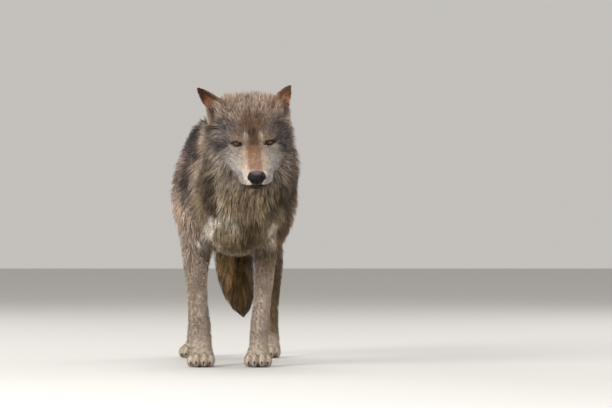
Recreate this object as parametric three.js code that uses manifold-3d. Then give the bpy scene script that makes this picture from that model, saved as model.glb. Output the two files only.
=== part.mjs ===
// A timber wolf, standing, as a life-size still model. Millimetres, +Z up.
// The animal faces -Y. Its right side is at -X and its left side at +X.
// The outer form, out to the tips of the coat, is one smooth field made of
// lofted limbs and rounded muscle masses. The field is meshed region by region
// and parted along thin planes into the parts of the body.
import * as THREE from "three";
import { mergeVertices } from "three/addons/utils/BufferGeometryUtils.js";
import Module from "manifold-3d";

const wasm = await Module();
wasm.setup();
const { Manifold, Mesh: Solid } = wasm;

// ---------------------------------------------------------------- sizes
const ORIGIN = [11.2, 129.72, 0]; // the middle of the outline, from the point between the forefeet
const GAP = 0.4; // width of a parting cut
const EYE_R = 12.2; // eyeball
const EYE = [43.5, 8.5, -5.5]; // eyeball centre in the head's frame, left side
const EYE_TURN = 14; // outward look of each eye, degrees
const HEAD = { at: [64.5, -350, 621], yaw: 6, pitch: 32, roll: -3 }; // origin between the eyes
const NECK = { at: [8, 0, 545], yaw: 9.8, pitch: -17.9, roll: 0 }; // origin at the base of the neck
const FORE_SHIFT = -11, FORE_SLIM = 0.91; // the left foreleg stands nearer the midline, and is seen slimmer, than the right
const HIND_SHIFT = -18, HIND_BOW = 14; // the left hock stands a little further out
const FORE_PAW_RIGHT = { at: [-84, -30, 0], yaw: -3, pitch: 0, roll: 0 };
const FORE_PAW_LEFT = { at: [73, -30, 0], yaw: 1, pitch: 0, roll: 0 };
const HIND_PAW_RIGHT = { at: [-128, 560, 0], yaw: -8, pitch: 0, roll: 0 };
const HIND_PAW_LEFT = { at: [98, 560, 0], yaw: -3, pitch: 0, roll: 0 };
const CLAW_R = 3.1, CLAW_L = 17, CLAW_DROOP = 0.45; // radius, length, slope downwards
const EAR_ROOT = 22; // where the ear parts from the head, from its base
const WORLD = { at: [0, 0, 0], yaw: 0, pitch: 0, roll: 0 };

// Lofts: [station, centre 1, centre 2, half-width, reach up or back, reach down or front]
// A loft along y has its sections in x and z, and a loft along z in x and y.
const TRUNK = [
  [-130, 18, 500, 110, 146, 165],
  [-60, 17, 500, 139, 178, 186],
  [0, 16, 494, 154, 202, 190],
  [80, 13, 488, 158, 206, 178],
  [170, 6, 488, 157, 197, 166],
  [270, -2, 495, 150, 186, 152],
  [360, -8, 508, 139, 174, 134],
  [440, -10, 522, 132, 162, 116],
  [510, -10, 532, 127, 147, 108],
  [550, -10, 538, 108, 118, 94],
];
const NECK_ROWS = [
  [-250, 0, 0, 118, 96, 112],
  [-180, 0, 0, 128, 112, 134],
  [-100, 0, 0, 136, 128, 150],
  [-30, 0, 0, 142, 140, 160],
  [25, 0, 0, 144, 142, 160],
];
// forward reach is the last column in a leg
const FORELEG = [
  [18, -84, -22, 30, 30, 30],
  [45, -84.5, -22, 31, 29, 30],
  [78, -86, -13, 30, 27, 29],
  [129, -90, -5, 30, 30, 31],
  [160, -93, -4, 28.5, 31, 30],
  [200, -97, -3, 29.5, 34, 31],
  [269, -102, 0, 34, 41, 36],
  [325, -107, 4, 38, 52, 42],
  [365, -109, 8, 41, 62, 50],
  [420, -111, 6, 45, 74, 66],
  [480, -106, 5, 50, 78, 74],
];
const HINDLEG = [
  [18, -123, 576, 26, 26, 27],
  [60, -122, 582, 25, 25, 26],
  [100, -121, 588, 23, 25, 24],
  [150, -120, 592, 24, 30, 26],
  [185, -118, 586, 26, 37, 32],
  [212, -116, 566, 27.5, 44, 38],
  [250, -112, 530, 32, 52, 46],
  [300, -108, 492, 40, 70, 58],
  [350, -104, 462, 48, 92, 70],
  [410, -100, 455, 57, 102, 88],
  [480, -92, 468, 62, 100, 102],
  [560, -78, 484, 58, 82, 88],
];
const TAIL = [
  [122, 19, 652, 9, 9, 9],
  [140, 15, 652, 27, 24, 24],
  [165, 10, 653, 42, 38, 38],
  [210, 3, 654, 54, 48, 46],
  [290, -7, 655, 65, 52, 48],
  [380, -10, 654, 63, 50, 47],
  [460, -10, 648, 54, 46, 42],
  [530, -10, 634, 44, 42, 38],
  [585, -10, 604, 40, 40, 40],
  [615, -10, 572, 36, 36, 40],
];
const MUZZLE = [
  [-119, 0, -50, 29, 27, 26],
  [-105, 0, -49, 34, 28.5, 30],
  [-80, 0, -47, 38, 29.5, 32],
  [-50, 0, -43, 42, 31.5, 35],
  [-20, 0, -38.5, 47, 34.5, 39],
  [12, 0, -31, 54, 38, 46],
];
const JAW = [
  [-91, 0, -80, 17, 10, 12],
  [-78, 0, -81, 22, 12, 14],
  [-50, 0, -82, 31, 14, 16],
  [-10, 0, -80.5, 42, 18, 20],
  [35, 0, -75, 54, 24, 30],
];

// Rounded masses: name, frame, centre, radii, turn about x, blend; "pair" makes its mirror too.
const MASSES = [
  ["breast", "world", [20, -165, 450], [108, 82, 122], 0, 60],
  ["bib", "world", [36, -206, 468], [104, 78, 120], 0, 60],
  ["throat", "world", [50, -244, 520], [112, 70, 104], 0, 55],
  ["withers", "world", [8, 40, 600], [92, 130, 104], 0, 60],
  ["shoulder_right", "world", [-110, 2, 484], [58, 86, 114], 8, 40],
  ["shoulder_left", "world", [122, 2, 472], [58, 86, 130], 8, 40],
  ["ruff_left", "world", [124, -240, 556], [68, 78, 70], 0, 50],
  ["withers_right", "world", [-42, 60, 606], [84, 112, 92], 0, 50],
  ["croup", "world", [-10, 480, 590], [104, 120, 92], 0, 60],
  ["haunch_right", "world", [-92, 480, 500], [66, 98, 118], -8, 40],
  ["haunch_left", "world", [74, 480, 500], [66, 98, 118], -8, 40],
  ["flank_fringe", "world", [-6, 330, 400], [96, 110, 50], 0, 50],
];
const HEAD_MASSES = [
  ["cranium", [0, 80, 3], [76, 84, 62], 0, 30],
  ["forehead", [0, 37, 4], [50, 55, 37], 0, 22],
  ["crown", "pair", [48, 102, 10], [38, 56, 60], 0, 24],
  ["crown_right", [-70, 112, 20], [30, 46, 52], 0, 20],
  ["flew", "pair", [24, -92, -54], [21, 25, 21], 0, 14],
  ["lip", "pair", [28, -60, -52], [21, 38, 25], 0, 14],
  ["cheek_pad", "pair", [40, -20, -50], [23, 36, 30], 0, 16],
  ["nape", [0, 118, -22], [90, 80, 80], 0, 40],
  ["cheek", "pair", [50, 40, -26], [34, 50, 42], 0, 24],
  ["brow", "pair", [32.5, 9, 10.5], [22, 20, 12], 0, 14],
  ["cheekbone", "pair", [40, 0, -26], [20, 26, 15], 0, 14],
  ["ruff", "pair", [72, 92, -36], [48, 54, 78], 0, 36],
  ["jowl", "pair", [48, 62, -76], [40, 54, 40], 0, 34],
];
// Ear: the base's middle, the tip and the way the mouth of the ear looks, in the head's frame, left side
const EAR = { half: 30, thick: 7.5, hollow: 0.42 };
const EAR_BASE = { right: [72, 96, 38], left: [67, 96, 38] };
const EAR_FACES = { right: [0.62, -0.72, 0.1], left: [0.42, -0.89, 0.1] };
const EAR_TIP = { right: [143, 142, 95], left: [114, 140, 93] };
// Toes of a paw: x, y, z, radii; the paw's frame has its origin on the ground below the foot's middle
const TOES = [
  [-27, -30, 18, 13.5, 25, 19.5],
  [-10.5, -46, 20, 13.5, 27, 21.5],
  [10.5, -46, 20, 13.5, 27, 21.5],
  [27, -30, 18, 13.5, 25, 19.5],
];
const PAW_MASSES = [
  [[0, 2, 26], [33, 38, 27], 14],
  [[0, -14, 26], [34, 34, 22], 12],
  [[0, 16, 9], [26, 24, 14], 10],
];

// ---------------------------------------------------------------- field
const frameMatrix = ({ at, yaw, pitch, roll }) =>
  new THREE.Matrix4()
    .makeTranslation(at[0], at[1], at[2])
    .multiply(new THREE.Matrix4().makeRotationZ(THREE.MathUtils.degToRad(yaw)))
    .multiply(new THREE.Matrix4().makeRotationX(THREE.MathUtils.degToRad(pitch)))
    .multiply(new THREE.Matrix4().makeRotationY(THREE.MathUtils.degToRad(roll)));

// Columns of a table as smooth curves of its first column.
function curves(rows, n = 240) {
  const s = rows.map((r) => r[0]), last = rows.length - 1;
  const step = (s[last] - s[0]) / n;
  const cols = rows[0].slice(1).map((_, c) => {
    const v = rows.map((r) => r[c + 1]);
    const m = v.map((_, i) => {
      if (i === 0) return (v[1] - v[0]) / (s[1] - s[0]);
      if (i === last) return (v[i] - v[i - 1]) / (s[i] - s[i - 1]);
      const a = s[i] - s[i - 1], b = s[i + 1] - s[i];
      return (((v[i] - v[i - 1]) / a) * b + ((v[i + 1] - v[i]) / b) * a) / (a + b);
    });
    const table = new Float64Array(n + 1);
    for (let j = 0, i = 0; j <= n; j++) {
      const x = s[0] + j * step;
      while (i < last - 1 && x > s[i + 1]) i++;
      const h = s[i + 1] - s[i], t = (x - s[i]) / h, t2 = t * t, t3 = t2 * t;
      table[j] = (2 * t3 - 3 * t2 + 1) * v[i] + (t3 - 2 * t2 + t) * h * m[i] + (-2 * t3 + 3 * t2) * v[i + 1] + (t3 - t2) * h * m[i + 1];
    }
    return table;
  });
  return { s0: s[0], s1: s[last], step, n, cols };
}

// Distance-like value of a lofted body of oval sections with rounded ends.
function loft(axis, rows, cap0, cap1, power = 2) {
  const c = curves(rows), [A, B, W, U, D] = c.cols;
  const along = axis === "y" ? 1 : 2, across = axis === "y" ? 2 : 1;
  return (p) => {
    const s = p[along];
    const f = Math.min(Math.max((s - c.s0) / c.step, 0), c.n - 1e-6), i = Math.floor(f), u = f - i;
    const at = (T) => T[i] + (T[i + 1] - T[i]) * u;
    const slope = (T) => (T[i + 1] - T[i]) / c.step;
    const a = p[0] - at(A), b = p[across] - at(B), w = at(W), up = b > 0, h = up ? at(U) : at(D);
    const over = s < c.s0 ? (c.s0 - s) / cap0 : s > c.s1 ? (s - c.s1) / cap1 : 0;
    const x = Math.abs(a) / w, z = Math.abs(b) / h;
    const k0 = Math.hypot(power === 2 ? Math.hypot(x, z) : Math.pow(Math.pow(x, power) + Math.pow(z, power), 1 / power), over);
    if (k0 < 1e-6) return -Math.min(w, h);
    const cap = s < c.s0 ? cap0 : cap1;
    const gx = x / w, gz = z / h, k1 = Math.hypot(gx, gz, over / cap);
    let d = (k0 * (k0 - 1)) / Math.max(k1, 1e-9);
    if (!over) {
      const g = Math.hypot(gx, gz) || 1;
      const na = (Math.sign(a) * gx) / g, nb = (Math.sign(b) * gz) / g;
      const m = slope(A) * na + slope(B) * nb + (slope(W) * gx) / g + (slope(up ? U : D) * gz) / g;
      d /= Math.sqrt(1 + m * m);
    }
    return d;
  };
}
function oval(c, r, turn = 0) {
  const cs = Math.cos(THREE.MathUtils.degToRad(turn)), sn = Math.sin(THREE.MathUtils.degToRad(turn));
  return (p) => {
    const x = p[0] - c[0], y0 = p[1] - c[1], z0 = p[2] - c[2];
    const y = y0 * cs + z0 * sn, z = -y0 * sn + z0 * cs;
    const k0 = Math.hypot(x / r[0], y / r[1], z / r[2]);
    const k1 = Math.hypot(x / (r[0] * r[0]), y / (r[1] * r[1]), z / (r[2] * r[2]));
    return k1 < 1e-9 ? -Math.min(...r) : (k0 * (k0 - 1)) / k1;
  };
}
const blend = (a, b, k) => {
  const h = Math.max(k - Math.abs(a - b), 0) / k;
  return Math.min(a, b) - h * h * k * 0.25;
};
const carve = (a, b, k) => -blend(-a, b, k);

const ROUND = 3; // rounding of the ear's rim
// The ear: a leaf, curved about its long axis, thinned by a hollow on the side it faces.
function ear(side) {
  const which = side < 0 ? "right" : "left";
  const base = new THREE.Vector3(...EAR_BASE[which]), tip = new THREE.Vector3(...EAR_TIP[which]), n = new THREE.Vector3(...EAR_FACES[which]);
  for (const v of [base, tip, n]) v.x *= side;
  const e = tip.clone().sub(base), length = e.length();
  e.normalize();
  n.addScaledVector(e, -n.dot(e)).normalize();
  const w = new THREE.Vector3().crossVectors(n, e);
  return (p) => {
    const q = new THREE.Vector3(p[0], p[1], p[2]).sub(base);
    const h = q.dot(e), x = q.dot(w), y = q.dot(n), t = h / length;
    const tc = Math.min(Math.max(t, 0), 1);
    const half = EAR.half * Math.pow(1 - Math.pow(tc, 1.7), 0.8) * (0.94 + 0.22 * Math.min(tc * 3, 1)) + 2;
    const depth = EAR.hollow * half * (1 - 0.35 * tc); // how far the rims come forward of the middle
    const r = Math.min(Math.abs(x) / half, 1.4);
    const mid = depth * (r * r - 0.35), slope = (2 * depth * r) / half;
    const thick = EAR.thick * (0.55 + 0.35 * (1 - tc)) + 6 * Math.max(0, 0.35 - t);
    const sheet = Math.abs(y - mid) / Math.hypot(1, slope) - thick + ROUND;
    const out = Math.max((Math.abs(x) - half) * 0.85, h - length, -h - 26) + ROUND;
    return Math.hypot(Math.max(sheet, 0), Math.max(out, 0)) + Math.min(Math.max(sheet, out), 0) - ROUND;
  };
}

// All that makes the outer form. Each entry: frame, function, blend, whether it cuts.
const frames = { world: WORLD, head: HEAD, neck: NECK };
const terms = [];
const put = (frame, f, k, cut = false) => terms.push({ m: frameMatrix(frame).invert().elements, f, k, cut });
put(WORLD, loft("y", TRUNK, 78, 46), 1);
put(NECK, loft("y", NECK_ROWS, 50, 60), 60);
for (const [, , c, r, turn, k] of MASSES) put(WORLD, oval(c, r, turn), k);
for (const side of [-1, 1]) {
  const place = (rows, shift, slim, bow = 0) => rows.map((r) => [r[0], side < 0 ? r[1] : -r[1] + shift + bow * Math.exp(-(((r[0] - 275) / 85) ** 2)), r[2], side < 0 ? r[3] : r[3] * slim, r[4], r[5]]);
  put(WORLD, loft("z", place(FORELEG, FORE_SHIFT, FORE_SLIM), 18, 40), 34);
  put(WORLD, loft("z", place(HINDLEG, HIND_SHIFT, 1, HIND_BOW), 18, 40), 34);
}
put(WORLD, loft("z", TAIL, 8, 14), 16);
const pawFrames = {};
for (const [which, right, left, size] of [["forepaw", FORE_PAW_RIGHT, FORE_PAW_LEFT, 1], ["hindpaw", HIND_PAW_RIGHT, HIND_PAW_LEFT, 0.93]])
  for (const side of [-1, 1]) {
    const f = side < 0 ? right : left;
    pawFrames[which + (side < 0 ? "_right" : "_left")] = { ...f, size };
    for (const [c, r, k] of PAW_MASSES) put(f, oval(c.map((v) => v * size), r.map((v) => v * size)), k);
    for (const [x, y, z, rx, ry, rz] of TOES) put(f, oval([x * size, y * size, z * size], [rx * size, ry * size, rz * size]), 5);
  }
const headTerms = [];
const putHead = (f, k, cut = false) => headTerms.push({ f, k, cut });
for (const m of HEAD_MASSES) {
  const pair = m[1] === "pair", [c, r, turn, k] = m.slice(pair ? 2 : 1);
  for (const side of pair ? [-1, 1] : [1]) putHead(oval([c[0] * side, c[1], c[2]], r, turn), k);
}
putHead(loft("y", MUZZLE, 11, 20, 2.6), 16);
putHead(loft("y", JAW, 12, 20, 2.3), 8);
for (const side of [-1, 1]) {
  putHead(oval([(EYE[0] + 3) * side, EYE[1] - 15, EYE[2]], [17, 9, 8]), 6, true); // the eye's opening
  putHead(ear(side), 12);
  putHead(oval(side < 0 ? [-84.2, 102, 22] : [74, 102, 22], [34, 34, 34]), 20);
}
const headInverse = frameMatrix(HEAD).invert().elements;
const local = (e, p) => [
  e[0] * p[0] + e[4] * p[1] + e[8] * p[2] + e[12],
  e[1] * p[0] + e[5] * p[1] + e[9] * p[2] + e[13],
  e[2] * p[0] + e[6] * p[1] + e[10] * p[2] + e[14],
];
function headField(p) {
  const q = local(headInverse, p);
  let d = 1e3;
  for (const t of headTerms) {
    const v = t.f(q);
    d = t.cut ? carve(d, v, t.k) : blend(d, v, t.k);
  }
  return d;
}
function field(p) {
  let d = 1e3;
  for (const t of terms) d = blend(d, t.f(local(t.m, p)), t.k);
  if (p[1] < -120) d = blend(d, headField(p), 34);
  return d;
}

// ---------------------------------------------------------------- meshing
// A closed mesh of value(p) < 0 inside the box lo..hi, on a grid of the given pitch, its vertices drawn onto the surface.
function netMesh(value, lo, hi, pitch) {
  const n = lo.map((v, i) => Math.ceil((hi[i] - v) / pitch) + 1), [nx, ny, nz] = n;
  const g = new Float32Array(nx * ny * nz).fill(1e3);
  const id = (x, y, z) => (z * ny + y) * nx + x, at = (x, y, z) => [lo[0] + x * pitch, lo[1] + y * pitch, lo[2] + z * pitch];
  const B = 4;
  for (let z = 1; z < nz - 1; z += B) for (let y = 1; y < ny - 1; y += B) for (let x = 1; x < nx - 1; x += B) {
    const far = value(at(x + B / 2, y + B / 2, z + B / 2));
    const skip = Math.abs(far) > B * pitch * 1.7 + 6;
    for (let c = z; c < Math.min(z + B, nz - 1); c++) for (let b = y; b < Math.min(y + B, ny - 1); b++) for (let a = x; a < Math.min(x + B, nx - 1); a++)
      g[id(a, b, c)] = skip ? far : value(at(a, b, c));
  }
  // where inside and outside meet only across a diagonal, the weakest corner changes sides
  for (let round = 0, dirty = true; dirty && round < 30; round++) {
    dirty = false;
    const flipWeakest = (ids) => {
      const w = ids.reduce((a, b) => (Math.abs(g[a]) < Math.abs(g[b]) ? a : b));
      g[w] = g[w] < 0 ? 0.02 : -0.02;
      dirty = true;
    };
    for (let z = 1; z < nz - 2; z++) for (let y = 1; y < ny - 2; y++) for (let x = 1; x < nx - 2; x++) {
      const c = [0, 1, 2, 3, 4, 5, 6, 7].map((k) => id(x + (k & 1), y + ((k >> 1) & 1), z + (k >> 2)));
      const inside = c.map((i) => g[i] < 0), count = inside.filter(Boolean).length;
      if (count === 0 || count === 8) continue;
      let hit = false;
      for (const f of [[0, 1, 3, 2], [0, 1, 5, 4], [0, 2, 6, 4], [1, 3, 7, 5], [2, 3, 7, 6], [4, 5, 7, 6]])
        if (inside[f[0]] !== inside[f[1]] && inside[f[0]] === inside[f[2]] && inside[f[1]] === inside[f[3]]) { flipWeakest(f.map((k) => c[k])); hit = true; break; }
      if (hit) continue;
      for (const [a, b] of [[0, 7], [1, 6], [2, 5], [3, 4]]) {
        if (inside[a] === inside[b] && (count === (inside[a] ? 2 : 6))) { flipWeakest([c[a], c[b]]); break; }
      }
    }
  }
  const cell = new Int32Array(nx * ny * nz).fill(-1), pos = [];
  for (let z = 0; z < nz - 1; z++) for (let y = 0; y < ny - 1; y++) for (let x = 0; x < nx - 1; x++) {
    let mask = 0;
    for (let k = 0; k < 8; k++) if (g[id(x + (k & 1), y + ((k >> 1) & 1), z + (k >> 2))] < 0) mask |= 1 << k;
    if (mask === 0 || mask === 255) continue;
    let sx = 0, sy = 0, sz = 0, count = 0;
    for (let k = 0; k < 8; k++) for (const bit of [1, 2, 4]) {
      const l = k | bit;
      if (k === l || ((mask >> k) & 1) === ((mask >> l) & 1)) continue;
      const ka = [k & 1, (k >> 1) & 1, k >> 2], la = [l & 1, (l >> 1) & 1, l >> 2];
      const va = g[id(x + ka[0], y + ka[1], z + ka[2])], vb = g[id(x + la[0], y + la[1], z + la[2])], t = va / (va - vb);
      sx += ka[0] + t * (la[0] - ka[0]); sy += ka[1] + t * (la[1] - ka[1]); sz += ka[2] + t * (la[2] - ka[2]); count++;
    }
    cell[id(x, y, z)] = pos.length / 3;
    pos.push(...at(x + sx / count, y + sy / count, z + sz / count));
  }
  const tri = [];
  const far2 = (a, b) => (pos[3 * a] - pos[3 * b]) ** 2 + (pos[3 * a + 1] - pos[3 * b + 1]) ** 2 + (pos[3 * a + 2] - pos[3 * b + 2]) ** 2;
  const quad = (a, b, c, d, flip) => {
    if (flip) [b, d] = [d, b];
    if (far2(a, c) <= far2(b, d)) tri.push(a, b, c, a, c, d);
    else tri.push(a, b, d, b, c, d);
  };
  for (let z = 0; z < nz - 1; z++) for (let y = 0; y < ny - 1; y++) for (let x = 0; x < nx - 1; x++) {
    const inside = g[id(x, y, z)] < 0;
    if (y && z && inside !== g[id(x + 1, y, z)] < 0) quad(cell[id(x, y - 1, z - 1)], cell[id(x, y, z - 1)], cell[id(x, y, z)], cell[id(x, y - 1, z)], !inside);
    if (x && z && inside !== g[id(x, y + 1, z)] < 0) quad(cell[id(x - 1, y, z - 1)], cell[id(x - 1, y, z)], cell[id(x, y, z)], cell[id(x, y, z - 1)], !inside);
    if (x && y && inside !== g[id(x, y, z + 1)] < 0) quad(cell[id(x - 1, y - 1, z)], cell[id(x, y - 1, z)], cell[id(x, y, z)], cell[id(x - 1, y, z)], !inside);
  }
  for (let i = 0; i < pos.length; i += 3)
    for (let k = 0; k < 2; k++) {
      const p = [pos[i], pos[i + 1], pos[i + 2]], d = value(p), e = 0.5;
      if (Math.abs(d) > pitch) break;
      const gr = [0, 1, 2].map((a) => { const q = p.slice(); q[a] += e; const r = p.slice(); r[a] -= e; return (value(q) - value(r)) / (2 * e); });
      const l2 = gr[0] ** 2 + gr[1] ** 2 + gr[2] ** 2;
      if (l2 < 0.05) break;
      for (let a = 0; a < 3; a++) pos[i + a] -= Math.max(-pitch * 0.4, Math.min(pitch * 0.4, (0.9 * d * gr[a]) / l2));
    }
  return { pos, tri };
}

// Edge collapse by quadric error, down to the wanted number of triangles.
function simplified({ pos, tri }, want) {
  const nv = pos.length / 3, Q = Array.from({ length: nv }, () => new Float64Array(10));
  const faces = [], of = Array.from({ length: nv }, () => new Set());
  for (let i = 0; i < tri.length; i += 3) {
    const f = [tri[i], tri[i + 1], tri[i + 2]];
    faces.push(f);
    f.forEach((v) => of[v].add(faces.length - 1));
  }
  const P = (i) => new THREE.Vector3(pos[3 * i], pos[3 * i + 1], pos[3 * i + 2]);
  const V = Array.from({ length: nv }, (_, i) => P(i));
  const normal = (a, b, c) => new THREE.Vector3().subVectors(b, a).cross(new THREE.Vector3().subVectors(c, a));
  for (const f of faces) {
    const n = normal(V[f[0]], V[f[1]], V[f[2]]), area = n.length();
    if (area < 1e-9) continue;
    n.divideScalar(area);
    const d = -n.dot(V[f[0]]), q = [n.x * n.x, n.x * n.y, n.x * n.z, n.x * d, n.y * n.y, n.y * n.z, n.y * d, n.z * n.z, n.z * d, d * d];
    for (const v of f) for (let k = 0; k < 10; k++) Q[v][k] += q[k] * area;
  }
  const err = (q, v) => q[0] * v.x * v.x + 2 * q[1] * v.x * v.y + 2 * q[2] * v.x * v.z + 2 * q[3] * v.x + q[4] * v.y * v.y + 2 * q[5] * v.y * v.z + 2 * q[6] * v.y + q[7] * v.z * v.z + 2 * q[8] * v.z + q[9];
  const stamp = new Int32Array(nv), heap = [];
  const swap = (i, j) => { const t = heap[i]; heap[i] = heap[j]; heap[j] = t; };
  const push = (x) => { heap.push(x); let i = heap.length - 1; while (i > 0) { const p = (i - 1) >> 1; if (heap[p].c <= heap[i].c) break; swap(i, p); i = p; } };
  const pop = () => {
    const top = heap[0], end = heap.pop();
    if (heap.length) { heap[0] = end; let i = 0; for (;;) { let l = 2 * i + 1; if (l >= heap.length) break; if (l + 1 < heap.length && heap[l + 1].c < heap[l].c) l++; if (heap[i].c <= heap[l].c) break; swap(i, l); i = l; } }
    return top;
  };
  const candidate = (a, b) => {
    const q = new Float64Array(10);
    for (let k = 0; k < 10; k++) q[k] = Q[a][k] + Q[b][k];
    const m = new THREE.Matrix3().set(q[0], q[1], q[2], q[1], q[4], q[5], q[2], q[5], q[7]);
    const mid = V[a].clone().add(V[b]).multiplyScalar(0.5);
    const size = V[a].distanceTo(V[b]);
    let best = mid, c = err(q, mid);
    if (Math.abs(m.determinant()) > 1e-4 * Math.pow(q[0] + q[4] + q[7], 3)) {
      const x = new THREE.Vector3(-q[3], -q[6], -q[8]).applyMatrix3(m.invert());
      const cx = err(q, x);
      if (cx < c && x.distanceTo(mid) < size * 1.2) { best = x; c = cx; }
    }
    for (const v of [V[a], V[b]]) { const cv = err(q, v); if (cv < c) { best = v.clone(); c = cv; } }
    return { a, b, c: c + 1e-4 * size ** 4, x: best, sa: stamp[a], sb: stamp[b] };
  };
  const around = (v) => { const s = new Set(); for (const f of of[v]) for (const u of faces[f]) if (u !== v) s.add(u); return s; };
  for (let v = 0; v < nv; v++) for (const u of around(v)) if (u > v) push(candidate(v, u));
  let count = faces.length;
  while (count > want && heap.length) {
    const e = pop();
    if (e.sa !== stamp[e.a] || e.sb !== stamp[e.b]) continue;
    const na = around(e.a), nb = around(e.b);
    if (!na.has(e.b)) continue;
    let shared = 0;
    for (const v of na) if (nb.has(v)) shared++;
    if (shared !== 2) continue;
    let bad = false;
    for (const v of [e.a, e.b]) {
      for (const fi of of[v]) {
        const f = faces[fi];
        if (f.includes(e.a) && f.includes(e.b)) continue;
        const before = normal(V[f[0]], V[f[1]], V[f[2]]), w = f.map((u) => (u === v ? e.x : V[u])), after = normal(w[0], w[1], w[2]);
        const la = after.length(), longest = Math.max(w[0].distanceTo(w[1]), w[1].distanceTo(w[2]), w[2].distanceTo(w[0]));
        if (la < 0.06 * longest * longest || before.dot(after) < 0.35 * before.length() * la) { bad = true; break; }
      }
      if (bad) break;
    }
    if (bad) continue;
    for (const fi of [...of[e.b]]) {
      const f = faces[fi];
      if (f.includes(e.a)) { for (const v of f) of[v].delete(fi); faces[fi] = null; count--; continue; }
      f[f.indexOf(e.b)] = e.a;
      of[e.a].add(fi);
    }
    of[e.b].clear();
    for (let k = 0; k < 10; k++) Q[e.a][k] += Q[e.b][k];
    V[e.a] = e.x;
    stamp[e.a]++;
    stamp[e.b]++;
    for (const u of around(e.a)) push(candidate(e.a, u));
  }
  const out = [];
  for (const f of faces) if (f) out.push(...f);
  return { pos: V.flatMap((v) => [v.x, v.y, v.z]), tri: out };
}

const toSolid = ({ pos, tri }) => {
  const g = new THREE.BufferGeometry();
  g.setAttribute("position", new THREE.BufferAttribute(new Float32Array(pos), 3));
  g.setIndex(tri);
  return geometrySolid(g);
};
function geometrySolid(geometry) {
  const g = geometry.clone();
  for (const k of ["normal", "uv"]) g.deleteAttribute(k);
  const m = mergeVertices(g, 1e-3);
  const solid = (triVerts) => new Manifold(new Solid({ numProp: 3, vertProperties: new Float32Array(m.attributes.position.array), triVerts }));
  const s = solid(new Uint32Array(m.index.array));
  return s.volume() > 0 ? s : solid(new Uint32Array(m.index.array).reverse());
}
function solidGeometry(s) {
  const m = s.getMesh(), v = new Float32Array(m.numVert * 3);
  for (let i = 0; i < m.numVert; i++) v.set(m.vertProperties.subarray(i * m.numProp, i * m.numProp + 3), i * 3);
  const g = new THREE.BufferGeometry();
  g.setAttribute("position", new THREE.BufferAttribute(v, 3));
  g.setIndex(new THREE.BufferAttribute(new Uint32Array(m.triVerts), 1));
  return g;
}
const block = (lo, hi) => {
  const g = new THREE.BoxGeometry(...hi.map((v, i) => v - lo[i]));
  g.translate(...hi.map((v, i) => (v + lo[i]) / 2));
  return geometrySolid(g);
};
// The same mesh with its surface moved outwards by d, to cut a neighbour clear of it.
function grown({ pos, tri }, d) {
  const n = new Float64Array(pos.length), at = (i) => new THREE.Vector3(pos[3 * i], pos[3 * i + 1], pos[3 * i + 2]);
  for (let i = 0; i < tri.length; i += 3) {
    const [a, b, c] = [at(tri[i]), at(tri[i + 1]), at(tri[i + 2])], f = b.sub(a).cross(c.sub(a)).normalize();
    for (const v of tri.slice(i, i + 3)) { n[3 * v] += f.x; n[3 * v + 1] += f.y; n[3 * v + 2] += f.z; }
  }
  const low = new Float64Array(pos.length / 3).fill(1);
  const out = pos.slice();
  for (let v = 0; v < pos.length / 3; v++) {
    const l = Math.hypot(n[3 * v], n[3 * v + 1], n[3 * v + 2]) || 1;
    for (let k = 0; k < 3; k++) n[3 * v + k] /= l;
  }
  for (let i = 0; i < tri.length; i += 3) {
    const [a, b, c] = [at(tri[i]), at(tri[i + 1]), at(tri[i + 2])], f = b.sub(a).cross(c.sub(a)).normalize();
    for (const v of tri.slice(i, i + 3)) low[v] = Math.min(low[v], f.x * n[3 * v] + f.y * n[3 * v + 1] + f.z * n[3 * v + 2]);
  }
  for (let v = 0; v < pos.length / 3; v++) for (let k = 0; k < 3; k++) out[3 * v + k] += (n[3 * v + k] * d) / Math.max(low[v], 0.4);
  return { pos: out, tri };
}
// Half-space as a big block: all that lies beyond point, along way.
function beyond(point, way) {
  const g = new THREE.BoxGeometry(4000, 4000, 4000);
  g.translate(0, 0, 2000);
  g.applyQuaternion(new THREE.Quaternion().setFromUnitVectors(new THREE.Vector3(0, 0, 1), new THREE.Vector3(...way).normalize()));
  g.translate(...point);
  return geometrySolid(g);
}
const largest = (s) => s.decompose().reduce((a, b) => (a.volume() > b.volume() ? a : b));

// ---------------------------------------------------------------- parts
const wolf = new THREE.Group();
const coat = (r, g, b, rough = 0.9) => new THREE.MeshStandardMaterial({ color: new THREE.Color().setRGB(r, g, b, THREE.SRGBColorSpace), roughness: rough, metalness: 0 });
const finish = {
  grey: coat(0.47, 0.41, 0.35), dark: coat(0.36, 0.32, 0.29), tan: coat(0.5, 0.43, 0.36), pale: coat(0.6, 0.55, 0.49), rust: coat(0.45, 0.31, 0.21),
  nose: coat(0.09, 0.08, 0.08, 0.45), eye: coat(0.5, 0.33, 0.14, 0.12), claw: coat(0.12, 0.1, 0.09, 0.4),
};
const nodes = {};
function add(name, solid, material) {
  const mesh = new THREE.Mesh(solidGeometry(largest(largest(solid).simplify(0.18))), material);
  mesh.name = name;
  mesh.position.set(-ORIGIN[0], -ORIGIN[1], -ORIGIN[2]);
  wolf.add(mesh);
  nodes[name] = mesh;
}
const F = (frame, p) => new THREE.Vector3(...p).applyMatrix4(frameMatrix(frame)).toArray();
const Fway = (frame, v) => new THREE.Vector3(...v).transformDirection(frameMatrix(frame)).toArray();

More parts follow.
